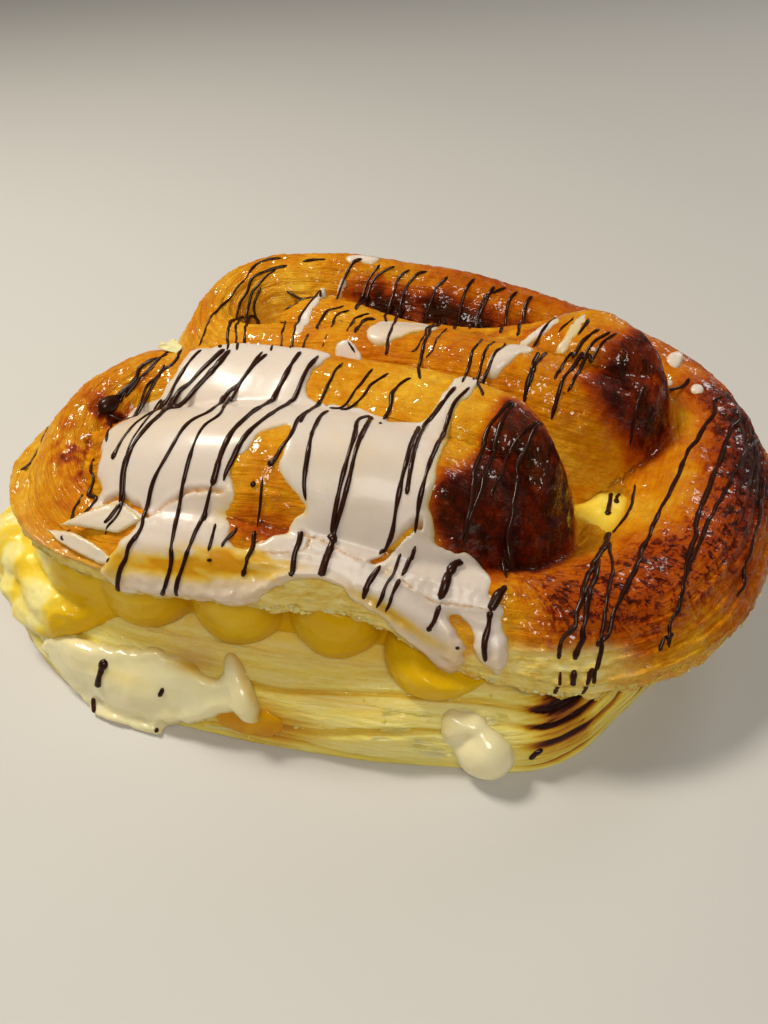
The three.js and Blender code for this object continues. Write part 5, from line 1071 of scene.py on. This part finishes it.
def flakes(P, N, D, length, width, r, lift=0.35, thick=0.13, curl=0.3):
    """thin curved leaves: rooted at P, running out along D and lifting away from the surface"""
    nu, nv = 6, 4; n = len(P); u = np.linspace(0, 1, nu); v = np.linspace(-1, 1, nv)
    D = D - (D * N).sum(1)[:, None] * N; D /= np.linalg.norm(D, axis=1)[:, None] + 1e-9; S = np.cross(N, D)
    V, F = [], []
    idx = lambda i, j, s: s * nu * nv + i * nv + j
    q = [(idx(i, j, 1), idx(i + 1, j, 1), idx(i + 1, j + 1, 1), idx(i, j + 1, 1)) for i in range(nu - 1) for j in range(nv - 1)]
    q += [(idx(i, j, 0), idx(i, j + 1, 0), idx(i + 1, j + 1, 0), idx(i + 1, j, 0)) for i in range(nu - 1) for j in range(nv - 1)]
    ring = [(i, 0) for i in range(nu)] + [(nu - 1, j) for j in range(1, nv)] + [(i, nv - 1) for i in range(nu - 2, -1, -1)] + [(0, j) for j in range(nv - 2, 0, -1)]
    q += [(idx(*a, 0), idx(*b, 0), idx(*b, 1), idx(*a, 1)) for a, b in zip(ring, ring[1:] + ring[:1])]
    q = np.array(q)
    for k in range(n):
        wu = width[k] * (0.65 + 0.5 * np.sin(np.pi * (0.15 + 0.7 * u))) * (1 + 0.25 * r.uniform(-1, 1, nu))
        bow, c = r.uniform(-0.25, 0.45), r.uniform(0.4, 1.0) * curl
        x = u[:, None] * length[k] + 0.12 * length[k] * r.uniform(-1, 1, (nu, nv)) * (u[:, None] > 0.5)
        y = wu[:, None] * v[None]
        h = lift * u[:, None] ** 1.5 * length[k] * c + bow * (1 - v[None] ** 2) * width[k] * 0.5 + 0.08 * r.uniform(-1, 1, (nu, nv)) - 0.25
        for s in (0, 1):
            V.append((P[k] + x[..., None] * D[k] + y[..., None] * S[k] + (h + (s - 0.5) * thick)[..., None] * N[k]).reshape(-1, 3))
        F.append(q + k * 2 * nu * nv)
    return np.concatenate(V), np.concatenate(F)
def make_crumbs(lid, base):
    r = np.random.default_rng(77)
    p, n, wall = lid; E = underside(p[:, 0]) + WALL; x, y, z = p.T
    front = (n[:, 1] < -0.2) & (y < -20)
    def pick(mask, k):
        i = np.flatnonzero(mask); return r.choice(i, min(k, len(i)), replace=False) if len(i) else i
    V, F, T, base_i = [], [], [], 0
    def put(W, Q, toast):
        nonlocal base_i
        V.append(W); F.append(Q + base_i); base_i += len(W); T.append(np.full(len(W), toast) if np.isscalar(toast) else toast)
    # along the torn lower edge of the lid
    low = front & (z < E - 2.4) & (wall > 0.4)
    i = np.concatenate([pick(low & (x > -28) & (x < 24), 34), pick(low & (x >= 24) & (x < 46), 16), pick(low & (x <= -28), 6), pick((z < E - 2.6) & (wall > 0.3) & (x > 44), 30)])
    W, Q = crumbs(p[i], n[i], 0.18 + 0.40 * r.uniform(0, 1, len(i)) ** 2.2, r); put(W, Q, np.repeat(r.uniform(0.02, 0.26, len(i)), 12))
    i = np.concatenate([pick(low & (x > -26) & (x < 44), 70)])
    D = np.tile(np.array([0.25, -0.35, -0.9]), (len(i), 1)) + r.normal(size=(len(i), 3)) * 0.5
    W, Q = flakes(p[i], n[i], D, r.uniform(0.8, 1.9, len(i)), r.uniform(0.3, 0.8, len(i)), r, 0.2); put(W, Q, np.repeat(r.uniform(0.02, 0.24, len(i)), 48))
    i = pick((z < E - 2.0) & (wall > 0.3) & (x > 44), 70)
    D = np.cross(n[i], np.array([0, 0, 1.0])) + r.normal(size=(len(i), 3)) * 0.5 - np.array([0, 0, 0.5])
    W, Q = flakes(p[i], n[i], D, r.uniform(1.2, 3.0, len(i)), r.uniform(0.5, 1.1, len(i)), r, 0.25); put(W, Q, np.repeat(r.uniform(0.25, 0.7, len(i)), 48))
    # on the cut side of the base
    bp, bn = base; fr = (bp[:, 2] > 1.5) & (bp[:, 2] < 14.5)
    fr &= bp[:, 0] < 33
    ff = fr & (bp[:, 1] < -30)
    i = pick(ff, 60); W, Q = crumbs(bp[i], bn[i], r.uniform(0.18, 0.5, len(i)), r, 0.25, 0.6); put(W, Q, np.repeat(r.uniform(0.1, 0.4, len(i)), 12))
    i = np.concatenate([pick(ff & (bp[:, 0] > 10), 60), pick(fr, 110)])
    tx = np.cross(np.tile(np.array([0, 0, 1.0]), (len(i), 1)), bn[i]) * r.choice([-1, 1], len(i))[:, None]
    W, Q = flakes(bp[i], bn[i], tx + r.normal(size=(len(i), 3)) * 0.12, r.uniform(2.0, 6.5, len(i)), r.uniform(0.30, 0.75, len(i)), r, 0.10, 0.10)
    put(W, Q, np.repeat(0.12 + r.uniform(0.0, 0.22, len(i)), 48))
    # the loose leaf that stands up behind the front lobe
    P0 = np.array([[-51.3, -6.6, 0], [-52.2, -6.0, 0], [-51.6, -5.4, 0]]); P0[:, 2] = at(LT2, P0[:, 0], P0[:, 1]) + 0.5; NN = np.array([[-0.1, -0.25, 0.95], [-0.3, -0.3, 0.9], [0.0, -0.2, 0.95]])
    NN /= np.linalg.norm(NN, axis=1)[:, None]
    W, Q = flakes(P0, NN, np.array([[-1.0, 0.05, 0.1], [-0.8, 0.5, 0.3], [-0.9, -0.35, 0.3]]), np.array([5.4, 3.6, 2.6]), np.array([1.0, 0.8, 0.7]), r, 0.30, 0.2, 0.5)
    put(W, Q, 0.0)
    V, F3, F4, T = np.concatenate(V), [f for f in F if f.shape[1] == 3], [f for f in F if f.shape[1] == 4], np.concatenate(T)
    V[:, 2] = np.maximum(V[:, 2], 0.05)
    emit("palmier_crumbs", V, [np.concatenate(F3), np.concatenate(F4)], dict(toast=T, lay=np.full(len(V), 0.8), wet=np.full(len(V), 0.1), amber=np.zeros(len(V))), CRUMB, smooth=False)
# ------------------------------------------------------------------ camera, floor and light
def look(pos, target):
    f = (Vector(target) - Vector(pos)).normalized()
    return f.to_track_quat("-Z", "Y").to_euler()
cam_d = bpy.data.cameras.new("camera"); cam = bpy.data.objects.new("camera", cam_d); scene.collection.objects.link(cam)
fwd = Vector((-0.20159, 0.70302, -0.68200)).normalized(); right = Vector((0.96126, 0.27564, 0.0)).normalized(); up = right.cross(fwd)
cam.matrix_world = Matrix(((right.x, up.x, -fwd.x, 0.040342), (right.y, up.y, -fwd.y, -0.140873), (right.z, up.z, -fwd.z, 0.14924), (0, 0, 0, 1)))
cam_d.lens = 28.27; cam_d.sensor_width = 36.0; cam_d.sensor_fit = "AUTO"; cam_d.clip_start = 0.005
scene.camera = cam

def floor():
    me = bpy.data.meshes.new("floor")
    n = 48; R = 2.6
    v = [(0, 0, 0)] + [(R * math.cos(2 * math.pi * i / n), R * math.sin(2 * math.pi * i / n), 0) for i in range(n)]
    me.from_pydata([(a, b, c - 0.0002) for a, b, c in v], [], [(0, 1 + i, 1 + (i + 1) % n) for i in range(n)])
    ob = bpy.data.objects.new("floor", me); scene.collection.objects.link(ob)
    m = Mat("floor"); m.set(Base_Color=m.mix(m.noise(m.obj, 3.0), (205, 202, 197), (211, 208, 203)), Roughness=0.65)
    me.materials.append(m.m)
floor()
def area(name, pos, target, size, power, color=(1, 1, 1), size_y=None):
    l = bpy.data.lights.new(name, "AREA"); l.energy = power; l.color = color; l.size = size
    if size_y: l.shape = "RECTANGLE"; l.size_y = size_y
    o = bpy.data.objects.new(name, l); scene.collection.objects.link(o); o.location = pos; o.rotation_euler = look(pos, target)
area("key", (-0.36, 0.06, 0.60), (0, 0, 0.03), 0.16, 3.5, (1, 0.94, 0.82))
area("fill", (0.20, -0.54, 0.74), (0, 0, 0.02), 0.30, 3.1, (1, 0.96, 0.88))
area("back", (0.35, 0.75, 0.45), (0, 0, 0.03), 0.26, 1.2, (1, 0.97, 0.92))
w = bpy.data.worlds.new("studio"); scene.world = w; w.use_nodes = True
w.node_tree.nodes["Background"].inputs[0].default_value = (1.0, 0.98, 0.95, 1); w.node_tree.nodes["Background"].inputs[1].default_value = 0.08
# ------------------------------------------------------------------ build
import time as _t
_t0 = _t.time()
CRUST, CRUMB, CREAM, CHOCO, SYRUP_MAT = crust_material(), base_material(), cream_material(), chocolate_material(), syrup_material()
ICING = icing_material("white_icing", [(0.0, (229, 211, 196)), (0.22, (227, 203, 172)), (0.45, (228, 192, 104)), (0.75, (222, 172, 44)), (1.0, (212, 146, 12))])
ICING_WARM = icing_material("white_icing_warm", [(0.0, (244, 234, 194)), (0.22, (240, 224, 166)), (0.45, (230, 200, 104)), (0.75, (214, 160, 40)), (1.0, (198, 126, 12))])
LIDP, LIDQ, LIDN, LIDW = make_lid(); print("lid", round(_t.time() - _t0, 1))
BASEP, BASEN = make_base(); print("base", round(_t.time() - _t0, 1))
CREAMP = make_cream(); print("cream", round(_t.time() - _t0, 1))
FULL = make_icing(LIDP, LIDQ); make_plates(); POOLP = make_pool(); make_blob(); print("icing", round(_t.time() - _t0, 1))
make_drizzle(FULL, dict(pool=POOLP, base=(BASEP, BASEN), cream=CREAMP)); print("drizzle", round(_t.time() - _t0, 1))
make_crumbs((LIDP, LIDN, LIDW), (BASEP, BASEN)); print("crumbs", round(_t.time() - _t0, 1))
scene.view_settings.view_transform = "Standard"
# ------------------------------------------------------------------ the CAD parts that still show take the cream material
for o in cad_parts.values():
    if not o.hide_render: o.data.materials.clear(); o.data.materials.append(CREAM)
